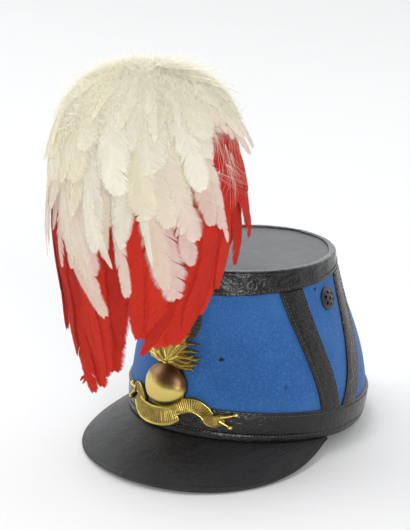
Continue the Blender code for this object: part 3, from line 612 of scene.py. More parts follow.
def crown_band_share(angle):
    """Share of the crown's height at the lower edge of the crown band."""
    depth = CROWN_BAND_REAR + (CROWN_BAND_FRONT - CROWN_BAND_REAR) * (1.0 + np.cos(angle)) / 2
    return 1.0 - depth / CROWN_HEIGHT


band_turns = around(BAND_COLUMNS)[:, None]
arc = band_turns * BAND_RADIUS
inner = SEAT_GAP
outer = SEAT_GAP + LEATHER
under_lip = TOP_THICKNESS + 2 * SEAT_GAP
over_lip = under_lip + LIP_THICKNESS
low = crown_band_share(band_turns)
stack = []
edges = []
climb = np.concatenate(([0.0, 0.02, 0.05, 0.12], np.linspace(0.2, 1.0, 10)))
for step in climb:
    share = low + (1.0 - low) * step
    groove = CROWN_GROOVE * np.exp(-(((share - low) * CROWN_HEIGHT - STITCH_INSET) / GROOVE_HALF_WIDTH) ** 2)
    soft = ripple(arc, share * CROWN_HEIGHT, (14 * MM, 6 * MM), 11)
    rounded = EDGE_ROUND * max(0.0, 1.0 - step / 0.05) ** 2
    stack.append(crown_point(share, band_turns, outer - rounded - groove + CROWN_BAND_WAVES * soft))
    edges.append(np.full(band_turns.shape, max(0.0, 1.0 - step / 0.10)))
SHOULDER = table("out up",
                 (1.00, 0.25), (0.97, 0.50), (0.82, 0.72), (0.50, 0.88), (0.00, 0.97), (-0.60, 1.00))
for row in SHOULDER:
    soft = ripple(arc, row["up"] * over_lip, (11 * MM, 6 * MM), 12)
    stack.append(crown_point(1.0, band_turns, row["out"] * outer + 0.10 * MM * soft,
                             row["up"] * over_lip + 0.05 * MM * soft))
    edges.append(np.full(band_turns.shape, 0.35 if 0.6 < row["up"] < 0.9 else 0.15))
body_rows = len(stack) - 2
wander = LIP_WANDER * ripple(arc, 0 * arc, (24 * MM, 9 * MM), 13)
for out, up, worn in ((-0.7, 1.0, 0.1), (-0.93, 0.98, 0.4), (-1.0, 0.92, 0.9), (-1.0, 0.8, 0.6)):
    rise = under_lip + (over_lip - under_lip) * (up - 0.7) / 0.3
    stack.append(crown_point(1.0, band_turns, out * LIP_REACH + wander * (out < -0.9), rise))
    edges.append(np.full(band_turns.shape, worn))
stack.append(crown_point(1.0, band_turns, -LIP_REACH + wander, under_lip))
stack.append(crown_point(1.0, band_turns, inner, under_lip))
stack.append(crown_point(low + (1.0 - low) * 0.5, band_turns, inner))
stack.append(crown_point(low, band_turns, inner))
edges += [np.zeros(band_turns.shape)] * 4
# The lip's upper face is painted grey: dust and painted sheen.
dust = np.zeros((BAND_COLUMNS, len(stack)))
dust[:, body_rows:] = 1.0
crown_band = skin("crown_band_leather", np.concatenate(stack, 1), [band_leather], ring=True, tube=True,
                  numbers={"edge": np.concatenate(edges, 1), "dust": dust})
keep(crown_band, "band_leather", "crown_band")

top_share = BASE_BAND_HEIGHT / CROWN_HEIGHT
PROFILE = table("rise sink",
                (0.000, 1.00), (0.012, 0.35), (0.035, 0.05), (0.090, -0.10), (0.160, -0.10),
                (0.205, 0.10), (LOWER_SEAM_RISE, 1.10), (0.265, 0.10), (0.310, -0.15), (0.400, -0.25),
                (0.500, -0.30), (0.620, -0.25), (0.740, -0.15), (0.860, 0.00), (0.900, 0.25),
                (0.935, 0.00), (0.970, 0.05), (0.990, 0.35), (1.000, 1.00))
stack = []
edges = []
for row in PROFILE:
    share = row["rise"] * top_share
    soft = ripple(arc, share * CROWN_HEIGHT, (16 * MM, 7 * MM), 21)
    flat_part = np.clip(min(row["rise"], 1.0 - row["rise"]) / 0.1, 0.0, 1.0)
    out = outer - EDGE_ROUND * row["sink"] + BASE_BAND_WAVES * soft * flat_part
    stack.append(crown_point(share, band_turns, out))
    edges.append(np.full(band_turns.shape, max(0.0, 1.0 - min(row["rise"], 1.0 - row["rise"]) / 0.06)))
for share in (top_share, 0.5 * top_share, 0.0):
    stack.append(crown_point(share, band_turns, inner))
    edges.append(np.zeros(band_turns.shape))
base_band = skin("base_band_leather", np.concatenate(stack, 1), [band_leather], ring=True, tube=True,
                 numbers={"edge": np.concatenate(edges, 1)})
keep(base_band, "band_leather", "base_band")

flat_turns = band_turns[:, 0]
seat = outer + 0.7 * THREAD_RADIUS
inset = STITCH_INSET / CROWN_HEIGHT
crown_seam = crown_point(crown_band_share(flat_turns) + inset, flat_turns, seat - SEAM_DEPTH)
upper_seam = crown_point(top_share - inset, flat_turns, seat - SEAM_DEPTH)
lower_seam = crown_point(LOWER_SEAM_RISE * top_share, flat_turns, seat - LOWER_SEAM_DEPTH)
stitch("band_stitches", [(crown_seam, True), (upper_seam, True), (lower_seam, True)])


# The peak: one crescent of thick leather, moulded over a form and sewn under the front of the
# rim. Its blacking has dulled to a pebbled brown-black, and a creased line runs along its edge.
PEAK_REACH = 46.0 * MM
PEAK_HALF_ANGLE = math.radians(83.0)
PEAK_SLOPE = math.radians(35.0)
PEAK_SIDE_SLOPE = math.radians(2.1)
PEAK_FULLNESS = 2.75
PEAK_ROUNDING = 1.37
PEAK_THICKNESS = 2.5 * MM
PEAK_ARCH = 1.5 * MM
PEAK_TANG = 3.0 * MM
PEAK_COLUMNS = 280
PEAK_ROWS = 34
PEAK_RADIUS = 95 * MM
PEAK_WAVES = 0.11 * MM
EDGE_LINE = 3.2 * MM
EDGE_LINE_DEPTH = 0.28 * MM
EDGE_LINE_HALF_WIDTH = 0.45 * MM

peak_leather = leather("peak_leather", (0.0068, 0.0068, 0.0076), (0.040, 0.030, 0.024), 0.42, 900.0, 160.0,
                       depth=0.25, pit=0.3 * MM, Specular_IOR_Level=0.34)
place = np.sin(np.linspace(-math.pi / 2, math.pi / 2, PEAK_COLUMNS + 1))[:, None]
angle = PEAK_HALF_ANGLE * place
reach = PEAK_REACH * (1.0 - np.abs(place) ** PEAK_FULLNESS) ** PEAK_ROUNDING
slope = PEAK_SLOPE + PEAK_SIDE_SLOPE * place ** 2
start = SEAT_GAP + LEATHER - PEAK_TANG
bend = SEAT_GAP + LEATHER


def peak_line(share, lift):
    """Points along the peak at a share of its reach, lifted square to its upper face."""
    arch = PEAK_ARCH * 4 * share * (1.0 - share) * reach / PEAK_REACH
    out = bend + reach * share * np.cos(slope) + (arch + lift) * np.sin(slope)
    down = -SEAT_GAP - reach * share * np.sin(slope) + (arch + lift) * np.cos(slope)
    spots = crown_point(0.0, angle, out)
    spots[..., 2] += down
    return spots


def tang_line(out, down):
    spots = crown_point(0.0, angle, np.full(angle.shape, out))
    spots[..., 2] += down
    return spots


peak_arc = angle * PEAK_RADIUS
stack = [tang_line(start, -SEAT_GAP), tang_line(bend - 0.6 * MM, -SEAT_GAP)]
edges = [np.zeros(angle.shape)] * 2
for share in np.linspace(0.0, 1.0, PEAK_ROWS) ** 0.85:
    left = reach * (1.0 - share)
    crease = np.exp(-((left - EDGE_LINE) / EDGE_LINE_HALF_WIDTH) ** 2) * np.clip(reach / (12 * MM), 0, 1)
    rounding = 0.35 * PEAK_THICKNESS * np.clip(1.0 - left / (0.5 * PEAK_THICKNESS), 0.0, 1.0) ** 2
    soft = PEAK_WAVES * ripple(peak_arc, share * reach, (30 * MM, 14 * MM), 31)
    lift = soft * np.clip(left / (3 * MM), 0, 1) - EDGE_LINE_DEPTH * crease - rounding
    stack.append(peak_line(share, lift))
    edges.append(np.clip(1.0 - left / (1.3 * MM), 0.0, 1.0) * np.clip(reach / (6 * MM), 0, 1))
nose_out = crown_point(0.0, angle, bend + reach * np.cos(slope) + 0.3 * PEAK_THICKNESS)
nose_out[..., 2] += -SEAT_GAP - reach * np.sin(slope) - 0.5 * PEAK_THICKNESS
stack.append(nose_out)
edges.append(np.full(angle.shape, 0.8))
for share in (1.0, 0.97, 0.75, 0.5, 0.25, 0.0):
    low_side = peak_line(share, 0.0)
    inward = crown_point(0.0, angle, np.ones(angle.shape)) - crown_point(0.0, angle)
    low_side = low_side - inward * (PEAK_THICKNESS * np.sin(slope) * 0.6)[..., None]
    low_side[..., 2] -= PEAK_THICKNESS * (0.9 if share == 1.0 else 1.0)
    stack.append(low_side)
    edges.append(np.full(angle.shape, 0.5 if share == 1.0 else 0.05))
stack.append(tang_line(start, -SEAT_GAP - PEAK_THICKNESS))
edges.append(np.zeros(angle.shape))
peak = skin("peak_leather", np.concatenate(stack, 1), [peak_leather], tube=True, caps=True,
            numbers={"edge": np.concatenate(edges, 1)}, sharp=60.0)
keep(peak, "peak_leather", "peak")


# The side straps: two on each side, set as a V between the bands to stiffen the crown.
# They are cut from the bands' leather, skived at their edges and sewn down both sides.
STRAP_WIDTH = 17.5 * MM
STRAP_GAP = 0.5 * MM
STRAP_ROWS = 60
STRAP_GROOVE = 0.22 * MM
STRAP_SEAM_DEPTH = 0.08 * MM
STRAP_WAVES = 0.13 * MM
STRAP_LANES = (-1.0, -0.985, -0.955, -0.88, -0.76, -0.6, -0.3, 0.0, 0.3, 0.6, 0.76, 0.88, 0.955, 0.985, 1.0)
STRAPS = table("name top_angle bottom_angle",
               ("chevron_front", 69.5, 81.0), ("chevron_rear", 121.0, 94.5))


def turn_for(share, angle, distance):
    """Angle that a short distance along the level ring turns through."""
    step = math.radians(0.5)
    span = np.linalg.norm(crown_point(share, angle + step) - crown_point(share, angle - step), axis=-1)
    return distance * 2 * step / span


level = np.linspace(0.0, 1.0, STRAP_ROWS)[:, None]
lanes = np.array(STRAP_LANES)[None, :]
strap_seams = []
for strap in STRAPS:
    top_angle = math.radians(strap["top_angle"])
    bottom_angle = math.radians(strap["bottom_angle"])
    floor_share = (BASE_BAND_HEIGHT + SEAT_GAP) / CROWN_HEIGHT
    high = 1.0 - CROWN_BAND_FRONT / CROWN_HEIGHT
    run = crown_point(high, top_angle) - crown_point(floor_share, bottom_angle)
    slant = np.linalg.norm(run) / run[2]
    for side, hand in ((1, "left"), (-1, "right")):
        angle_line = bottom_angle + (top_angle - bottom_angle) * level
        turned = angle_line + turn_for(level, angle_line, lanes * STRAP_WIDTH / 2 * slant)
        ceiling = crown_band_share(turned) - SEAT_GAP / CROWN_HEIGHT
        share = floor_share + (ceiling - floor_share) * level
        margin = (1.0 - np.abs(lanes)) * STRAP_WIDTH / 2
        rounding = EDGE_ROUND * np.clip(1.0 - margin / EDGE_ROUND, 0.0, 1.0) ** 2
        groove = STRAP_GROOVE * np.exp(-((margin - STITCH_INSET) / GROOVE_HALF_WIDTH) ** 2)
        soft = STRAP_WAVES * ripple(level * 0.08, lanes * STRAP_WIDTH / 2, (13 * MM, 6 * MM), 41 + side)
        face = crown_point(share, side * turned, STRAP_GAP + LEATHER - rounding - groove + soft)
        rear = crown_point(share[:, ::7], side * turned[:, ::7], STRAP_GAP)[:, ::-1]
        edge = np.clip(1.0 - margin / (0.9 * MM), 0.0, 1.0) * np.ones_like(share)
        worn = np.concatenate((edge, np.zeros(rear.shape[:2])), 1)
        node = f"{strap['name']}_{hand}"
        made = skin(f"{node}_leather", np.concatenate((face, rear), 1), [band_leather], tube=True,
                    caps=True, numbers={"edge": worn})
        keep(made, "band_leather", node)
        for lane in (-1, 1):
            seam_lane = lane * (1.0 - 2 * STITCH_INSET / STRAP_WIDTH)
            seam_turn = angle_line + turn_for(level, angle_line, seam_lane * STRAP_WIDTH / 2 * slant)
            seam_share = floor_share + (crown_band_share(seam_turn) - floor_share) * level
            line = crown_point(seam_share, side * seam_turn, STRAP_GAP + LEATHER - STRAP_SEAM_DEPTH)[2:-2, 0]
            strap_seams.append((line, False))
stitch("strap_stitches", strap_seams)


# The vents: a small domed disc of black japanned metal high on each side, with a ring of six
# holes round a middle one, held by prongs bent over inside the shell.
VENT_RADIUS = 8.5 * MM
VENT_DOME = 1.6 * MM
VENT_EDGE = 1.0 * MM
VENT_ANGLE = math.radians(97.0)
VENT_BELOW_TOP = 22.2 * MM
VENT_HOLE_RADIUS = 1.2 * MM
VENT_HOLE_CIRCLE = 4.6 * MM
VENT_BORE_RADIUS = 6.5 * MM
VENT_CUT_DEPTH = 18 * MM

japan = Finish("black_japan", (0.018, 0.018, 0.020), 0.38, Metallic=0.4, Coat_Weight=0.25)
chips = japan.noise(japan.place(), 900.0, 4.0, 0.65)
japan.set("Base Color", japan.mix((0.014, 0.014, 0.016), (0.16, 0.14, 0.12), chips.between(0.66, 0.74) * 0.6))
japan.set("Roughness", 0.3 + chips * 0.3)
japan.set("Normal", japan.bump(chips, 0.25, 0.1 * MM))


def vent_frame(side):
    """Matrix at a vent's seat, with its z axis out of the cloth and its y axis up it."""
    share = 1.0 - VENT_BELOW_TOP / CROWN_HEIGHT
    angle = side * VENT_ANGLE
    up = Vector(crown_point(share + 0.02, angle) - crown_point(share - 0.02, angle)).normalized()
    level = Vector(crown_point(share, angle + 0.02) - crown_point(share, angle - 0.02)).normalized()
    outward = level.cross(up).normalized()
    if outward.x * side < 0:
        outward = -outward
    made = Matrix((up.cross(outward), up, outward)).transposed().to_4x4()
    made.translation = Vector(crown_point(share, angle))
    return HAT @ made


def cut(piece, bars, radius, matrix, sides=16):
    """Cut round holes of one radius square to a matrix's plane, then apply the cut."""
    cutter_mesh = bmesh.new()
    for x, y in bars:
        bmesh.ops.create_cone(cutter_mesh, cap_ends=True, segments=sides, radius1=radius, radius2=radius,
                              depth=VENT_CUT_DEPTH, matrix=matrix @ Matrix.Translation((x, y, 0.0)))
    mesh = bpy.data.meshes.new("cutter")
    cutter_mesh.to_mesh(mesh)
    cutter_mesh.free()
    cutter = added("cutter", mesh)
    modifier = piece.modifiers.new("cut", "BOOLEAN")
    modifier.operation = "DIFFERENCE"
    modifier.object = cutter
    graph = bpy.context.evaluated_depsgraph_get()
    result = bpy.data.meshes.new_from_object(piece.evaluated_get(graph), depsgraph=graph)
    piece.modifiers.remove(modifier)
    piece.data = result
    bpy.data.objects.remove(cutter)


VENT_PROFILE = table("radius rise",
                     (0.00, 0.00), (1.00, 0.00), (1.00, 0.28), (0.965, 0.40), (0.90, 0.43),
                     (0.85, 0.36), (0.80, 0.42), (0.68, 0.62), (0.50, 0.82), (0.25, 0.96), (0.00, 1.00))
hole_places = [(0.0, 0.0)]
for turn in around(6):
    hole_places.append((VENT_HOLE_CIRCLE * math.sin(turn), VENT_HOLE_CIRCLE * math.cos(turn)))
for side, hand in ((1, "left"), (-1, "right")):
    matrix = vent_frame(side)
    dial = around(72)[:, None]
    radius = np.array([row["radius"] for row in VENT_PROFILE])[None, :] * VENT_RADIUS
    rise = SEAT_GAP + np.array([row["rise"] for row in VENT_PROFILE])[None, :] * (VENT_EDGE + VENT_DOME)
    local = np.stack((radius * np.sin(dial), radius * np.cos(dial), rise * np.ones_like(dial)), -1)
    vent = skin(f"vent_{hand}_metal", moved(local, matrix), [japan], ring=True, in_hat=False, sharp=40.0)
    cut(vent, hole_places, VENT_HOLE_RADIUS, matrix)
    keep(vent, "vent_metal", f"vent_{hand}")
    cut(crown_cloth, [(0.0, 0.0)], VENT_BORE_RADIUS, matrix, 32)


# The cockade: a rosette of black silk ribbon, knife-pleated round its middle and tacked to the
# cloth under the crown band, where the plume's stem goes in behind it.
COCKADE_RADIUS = 19.5 * MM
COCKADE_BELOW_BAND = 1.5 * MM
COCKADE_THICKNESS = 1.4 * MM
COCKADE_PLEAT = 0.9 * MM
COCKADE_PLEATS = 36

ARC_SHARES = np.linspace(0.0, 1.0, 41)
ARC_ANGLES = np.radians(np.arange(0.0, 61.0, 1.0))
ARC_TABLE = run_along(crown_point(ARC_SHARES[:, None], ARC_ANGLES[None, :]), 1)


def front_point(across, height, out):
    """Points in front of the cloth, from their place across the front and their height."""
    across, height, out = np.broadcast_arrays(*(np.asarray(v, float) for v in (across, height, out)))
    share = height / CROWN_HEIGHT
    angle = np.empty(across.shape)
    for index in np.ndindex(across.shape):
        place = share[index] * (len(ARC_SHARES) - 1)
        row = int(np.clip(place, 0, len(ARC_SHARES) - 2))
        arc = ARC_TABLE[row] + (ARC_TABLE[row + 1] - ARC_TABLE[row]) * (place - row)
        angle[index] = np.copysign(np.interp(abs(across[index]), arc, ARC_ANGLES), across[index])
    return crown_point(share, angle, out)


silk = Finish("black_silk", (0.012, 0.012, 0.013), 0.5, Sheen_Weight=0.2)
weft = silk.noise(silk.stretch(silk.place("UV"), (5200.0, 500.0, 1.0)), 1.0, 2.0)
silk.set("Base Color", silk.mix((0.006, 0.006, 0.007), (0.030, 0.029, 0.031), weft))
silk.set("Roughness", 0.38 + weft * 0.25)
silk.set("Normal", silk.bump(weft, 0.5, 0.15 * MM))

dial = around(COCKADE_PLEATS * 6)[:, None]
reach = np.array([1.0, 1.0, 0.985, 0.96, 0.9, 0.8, 0.68, 0.55, 0.42, 0.30, 0.2, 0.12, 0.0])[None, :]
fold = (dial * COCKADE_PLEATS / (2 * math.pi)) % 1.0
pleat = np.where(fold < 0.7, fold / 0.7, (1.0 - fold) / 0.3) * np.clip(reach * 1.6, 0.15, 1.0)
frill = 1.0 - 0.025 * (fold - 0.5) * np.ones_like(reach)
front = SEAT_GAP + COCKADE_THICKNESS * np.clip((1.0 - reach) / 0.04 + 0.35, 0.35, 1.0) + COCKADE_PLEAT * pleat
rise = np.concatenate((np.full((len(dial), 1), SEAT_GAP), front[:, 1:]), 1)
middle = CROWN_HEIGHT - CROWN_BAND_FRONT - COCKADE_BELOW_BAND - COCKADE_RADIUS
rosette = front_point(COCKADE_RADIUS * reach * frill * np.sin(dial),
                      middle + COCKADE_RADIUS * reach * frill * np.cos(dial), rise)
shut = front_point(COCKADE_RADIUS * np.array([[0.0, 0.5]]) * np.sin(dial),
                   middle + COCKADE_RADIUS * np.array([[0.0, 0.5]]) * np.cos(dial), SEAT_GAP)
cockade = skin("cockade_silk", np.concatenate((shut, rosette), 1), [silk], ring=True, sharp=28.0)
keep(cockade, "silk", "cockade")


# The badge: one body of stamped and soldered brass, pinned through the cloth. A flaming ball
# stands on a plain reeded scroll with forked ends. Polishing has left tarnish in its hollows,
# and the ball's upper half carries a painted dark reflection.
BALL_RADIUS = 17.0 * MM
BALL_DEPTH = 10.0 * MM
BALL_RIM = 0.6 * MM
BALL_ABOVE_BAND = 11.4 * MM
COLLAR_HALF_WIDTH = 5.5 * MM
COLLAR_HEIGHT = 4.6 * MM
FLAME_REACH = 27.0 * MM
FLAME_THICKNESS = 1.6 * MM
FLAME_ABOVE_BALL = 1.0 * MM
TONGUE_START = 1.5 * MM
TONGUE_CREST = 1.5 * MM
TONGUE_CURL = 0.9 * MM
TONGUE_EDGE = 0.12 * MM
BACK_TONGUES_RISE = 0.9 * MM
SCROLL_REACH = 53.0 * MM
SCROLL_TOP = 25.0 * MM
RIBBON_WIDTH = 14.5 * MM
RIBBON_THICKNESS = 1.3 * MM
COLLAR_SINK = 1.2 * MM
FLUTE_DEPTH = 0.35 * MM
REED_DEPTH = 0.45 * MM
badge_back = LEATHER + 2 * SEAT_GAP
flame_back = COCKADE_THICKNESS + COCKADE_PLEAT + 2 * SEAT_GAP
ball_height = BASE_BAND_HEIGHT + BALL_ABOVE_BAND


def brass(name, bright, dull, roughness, tarnish):
    """Old brass, dull in its hollows and on its flats, and rubbed bright where it stands proud; a painted
    dark reflection darkens it with the same dull colour.
    """
    made = Finish(name, bright, roughness, Metallic=1.0)
    spot = made.place()
    cloudy = made.noise(spot, 130.0, 5.0, 0.65)
    speckle = made.noise(spot, 900.0, 4.0, 0.7)
    tarnish_and_painted_reflection = made.number("tarnish_and_painted_reflection")
    dulling_and_painted_reflection = (cloudy * 0.7 + tarnish_and_painted_reflection * 0.8 + speckle * 0.25).between(tarnish, tarnish + 0.6)
    made.set("Base Color", made.mix(bright, dull, dulling_and_painted_reflection))
    made.set("Roughness", roughness + dulling_and_painted_reflection * 0.22 + speckle * 0.06)
    made.set("Normal", made.bump(speckle, 0.12, 0.08 * MM))
    return made


# The ball's dull colour also serves as its painted dark reflection.
ball_brass = brass("ball_brass", (0.64, 0.50, 0.15), (0.15, 0.085, 0.04), 0.15, 0.50)
stamped_brass = brass("stamped_brass", (0.56, 0.43, 0.105), (0.13, 0.088, 0.026), 0.30, 0.50)

dial = around(96)[:, None]
lift = np.radians(np.linspace(0.0, 90.0, 26))[None, :]
dome = np.sin(lift) ** 0.92
foot = [[0.0, BALL_RADIUS - 0.4 * MM, BALL_RADIUS + 0.15 * MM]]
radius = np.concatenate((foot, BALL_RADIUS * np.cos(lift) ** 0.96), 1)
rise = np.concatenate(([[0.0, 0.0, 0.2 * MM]], BALL_RIM + BALL_DEPTH * dome), 1)
ball = front_point(radius * np.sin(dial), ball_height + radius * np.cos(dial), badge_back + rise)
# The ball's upper half is painted darker as a painted dark reflection; its foot keeps real tarnish.
painted_reflection = 0.85 * np.clip((radius * np.cos(dial - 0.25) / BALL_RADIUS + 0.02) / 0.5, 0.0, 1.0)
tarnish_and_painted_reflection = np.maximum(painted_reflection, np.clip(1.0 - rise / (1.4 * MM), 0.0, 1.0))
badge_parts = [skin("badge_ball", ball, [ball_brass], ring=True, numbers={"tarnish_and_painted_reflection": tarnish_and_painted_reflection})]

RINGS = table("level radius",
              (0.00, 0.70), (0.10, 0.92), (0.22, 1.00), (0.34, 0.92), (0.44, 0.66), (0.54, 0.80),
              (0.66, 0.90), (0.78, 0.84), (0.88, 0.62), (1.00, 0.52))
sweep = np.linspace(-0.5 * math.pi, 0.5 * math.pi, 25)[:, None]
size = np.array([row["radius"] for row in RINGS])[None, :] * COLLAR_HALF_WIDTH
level = np.array([row["level"] for row in RINGS])[None, :] * COLLAR_HEIGHT
level = ball_height + BALL_RADIUS - COLLAR_SINK + level * np.ones_like(sweep)
collar = front_point(size * np.sin(sweep), level, badge_back + 0.9 * size * np.cos(sweep))
tarnish_and_painted_reflection = np.ones_like(sweep) * (1.15 - size / COLLAR_HALF_WIDTH)
badge_parts.append(skin("badge_collar", collar, [stamped_brass], numbers={"tarnish_and_painted_reflection": tarnish_and_painted_reflection}))

TONGUES = table("turn reach curl width",
                (184, 0.70, -0.30, 3.6), (170, 0.86, -0.22, 4.6), (155, 0.66, -0.30, 4.2),
                (140, 0.62, -0.35, 4.2), (125, 0.66, -0.34, 4.2), (110, 0.74, -0.36, 4.4),
                (96, 0.86, -0.34, 4.6), (82, 0.98, -0.30, 4.8), (68, 1.02, -0.24, 4.8),
                (54, 0.96, -0.18, 4.6), (41, 0.88, -0.14, 4.4), (28, 0.88, -0.20, 4.6),
                (14, 0.80, -0.24, 4.6), (1, 0.70, -0.26, 4.2), (-12, 0.52, -0.10, 3.6))
flame_foot = ball_height + BALL_RADIUS + FLAME_ABOVE_BALL
run = np.linspace(0.0, 1.0, 22)[:, None]
lane = np.linspace(-1.0, 1.0, 13)[None, :]
for layer, (shorter, deeper) in enumerate(((1.0, 0.0), (0.80, BACK_TONGUES_RISE))):
    for index, tongue in enumerate(TONGUES):
        turn = math.radians(tongue["turn"] + 7.0 * layer)
        length = FLAME_REACH * tongue["reach"] * shorter
        wave = 0.10 * np.sin(2.6 * math.pi * run + index)
        heading = turn + tongue["curl"] * run ** 1.5 + wave * run
        half_width = 0.5 * tongue["width"] * MM * (0.35 + 0.9 * run) * (1.0 - run ** 3.2) + TONGUE_EDGE
        distance = TONGUE_START + length * run
        across = distance * np.cos(heading) - half_width * lane * np.sin(heading)
        height = flame_foot + distance * np.sin(heading) + half_width * lane * np.cos(heading)
        flute = FLUTE_DEPTH * np.abs(np.sin(1.5 * math.pi * lane))
        crest = (TONGUE_CREST * (1.0 - lane ** 2) + flute) * (1.0 - 0.55 * run) + deeper * 0.8
        curl_up = TONGUE_CURL * np.sin(math.pi * run) * (index % 2)
        face = flame_back + FLAME_THICKNESS * 0.5 + crest + curl_up
        top = front_point(across, height, face)
        bottom = front_point(across[:, ::4], height[:, ::4], flame_back + 0.0 * across[:, ::4])[:, ::-1]
        tarnish_and_painted_reflection = np.clip(1.25 - flute / FLUTE_DEPTH - crest / (4.0 * MM), 0, 1) * np.ones_like(run)
        tarnish_and_painted_reflection = np.concatenate((tarnish_and_painted_reflection, np.ones(bottom.shape[:2])), 1)
        badge_parts.append(skin(f"badge_tongue_{layer}_{index}", np.concatenate((top, bottom), 1),
                                [stamped_brass], tube=True, caps=True, numbers={"tarnish_and_painted_reflection": tarnish_and_painted_reflection}))

# Each ribbon runs through places given as shares of the scroll's reach, top and ribbon width.
RIBBONS = {
    "swag": ((-0.55, 0.62, 0.62), (-0.38, 0.38, 0.97), (-0.15, 0.33, 1.00), (0.08, 0.42, 0.97),
             (0.235, 0.58, 0.69)),
    "hump": ((0.14, 0.62, 0.69), (0.265, 0.82, 0.76), (0.425, 0.92, 0.76), (0.565, 0.82, 0.69),
             (0.64, 0.66, 0.62)),
    "right_tail": ((0.595, 0.66, 0.48), (0.70, 0.56, 0.62), (0.79, 0.62, 0.55), (0.85, 0.66, 0.41)),
    "left_curl": ((-0.395, 0.56, 0.55), (-0.435, 0.80, 0.55), (-0.53, 0.94, 0.52), (-0.64, 0.80, 0.41)),
    "right_upper": ((0.80, 0.69, 0.26), (0.905, 0.76, 0.17), (0.99, 0.82, 0.14)),
    "right_lower": ((0.79, 0.58, 0.26), (0.87, 0.50, 0.17), (0.935, 0.42, 0.14)),
    "left_upper": ((-0.60, 0.87, 0.26), (-0.70, 0.84, 0.17), (-0.765, 0.88, 0.14)),
    "left_lower": ((-0.61, 0.79, 0.26), (-0.70, 0.62, 0.17), (-0.765, 0.48, 0.14)),
}
REED_PITCH = 1.5 * MM
BALL_TIP = 1.9 * MM
RIBBON_LAYER = 0.12 * MM
RIBBON_ARCH = 0.5 * MM


def smooth_through(rows, steps):
    """Points on a smooth curve through a table's rows."""
    points = np.array(rows)
    padded = np.concatenate((points[:1], points, points[-1:]))
    place = np.linspace(0.0, len(points) - 1.0, steps)
    span = np.minimum(place.astype(int), len(points) - 2)
    t = (place - span)[:, None]
    a, b, c, d = (padded[span + shift] for shift in range(4))
    square = 2 * a - 5 * b + 4 * c - d
    cube = 3 * b - a - 3 * c + d
    return 0.5 * (2 * b + (c - a) * t + square * t ** 2 + cube * t ** 3)


BEADING = table("lane rise",
                (-1.0, 0.0), (-1.0, 0.7), (-0.97, 1.0), (-0.90, 1.12), (-0.82, 1.0), (-0.72, 0.62),
                (-0.4, 0.62), (0.0, 0.62), (0.4, 0.62), (0.72, 0.62), (0.82, 1.0), (0.90, 1.12),
                (0.97, 1.0), (1.0, 0.7), (1.0, 0.0))
lane = np.array([row["lane"] for row in BEADING])[None, :]
beaded = np.array([row["rise"] for row in BEADING])[None, :]
for index, (name, rows) in enumerate(RIBBONS.items()):
    broad = name in ("swag", "hump", "right_tail", "left_curl")
    path = smooth_through(rows, 150 if name in ("swag", "hump") else 40)
    across, height, width = path[:, 0] * SCROLL_REACH, path[:, 1] * SCROLL_TOP, path[:, 2] * RIBBON_WIDTH
    heading = np.stack((np.gradient(across), np.gradient(height)), -1)
    heading /= np.linalg.norm(heading, axis=1, keepdims=True)
    walked = np.concatenate(([0.0], np.cumsum(np.hypot(np.diff(across), np.diff(height)))))
    reed = 0.5 + 0.5 * np.cos(2 * math.pi * walked / REED_PITCH)
    inside_lane = (np.abs(lane) < 0.75).astype(float)
    reeds = REED_DEPTH * reed[:, None] * inside_lane * (1.0 if name in ("swag", "hump") else 0.25)
    sunk = RIBBON_THICKNESS * beaded + reeds
    if not broad:
        rounded = np.where(beaded == 0.0, 0.0, 0.55 + 0.75 * (1.0 - lane ** 2))
        sunk = RIBBON_THICKNESS * rounded * np.ones((len(path), 1))
    rear = badge_back + RIBBON_LAYER * (index + 1) * (beaded > 0.0)
    arched = RIBBON_ARCH * np.sin(math.pi * walked / walked[-1])[:, None] * broad
    ribbon = front_point(across[:, None] - heading[:, 1:] * lane * width[:, None] / 2,
                         height[:, None] + heading[:, :1] * lane * width[:, None] / 2,
                         rear + sunk + arched * (beaded > 0.0))
    tarnish_and_painted_reflection = np.clip(1.2 - sunk / RIBBON_THICKNESS, 0.0, 1.0) * np.ones((len(path), 1))
    badge_parts.append(skin(f"badge_{name}", ribbon, [stamped_brass], tube=True, caps=True,
                            numbers={"tarnish_and_painted_reflection": tarnish_and_painted_reflection}, sharp=40.0))
    if not broad:
        dial = around(20)[:, None]
        lift = np.radians(np.linspace(-50.0, 90.0, 12))[None, :]
        tip = front_point(across[-1] + BALL_TIP * np.cos(lift) * np.sin(dial),
                          height[-1] + BALL_TIP * np.cos(lift) * np.cos(dial),
                          badge_back + 0.6 * BALL_TIP + 0.9 * BALL_TIP * np.sin(lift) * np.ones_like(dial))
        badge_parts.append(skin(f"badge_{name}_tip", tip, [ball_brass], ring=True,
                                numbers={"tarnish_and_painted_reflection": np.zeros(tip.shape[:2])}))


def join(name, parts):
    """One mesh object of several, each with its own finish."""
    with bpy.context.temp_override(active_object=parts[0], selected_editable_objects=parts,
                                   selected_objects=parts):
        bpy.ops.object.join()
    parts[0].name = name
    parts[0].data.name = name
    return parts[0]


keep(join("badge_brass", badge_parts), "brass", "badge")


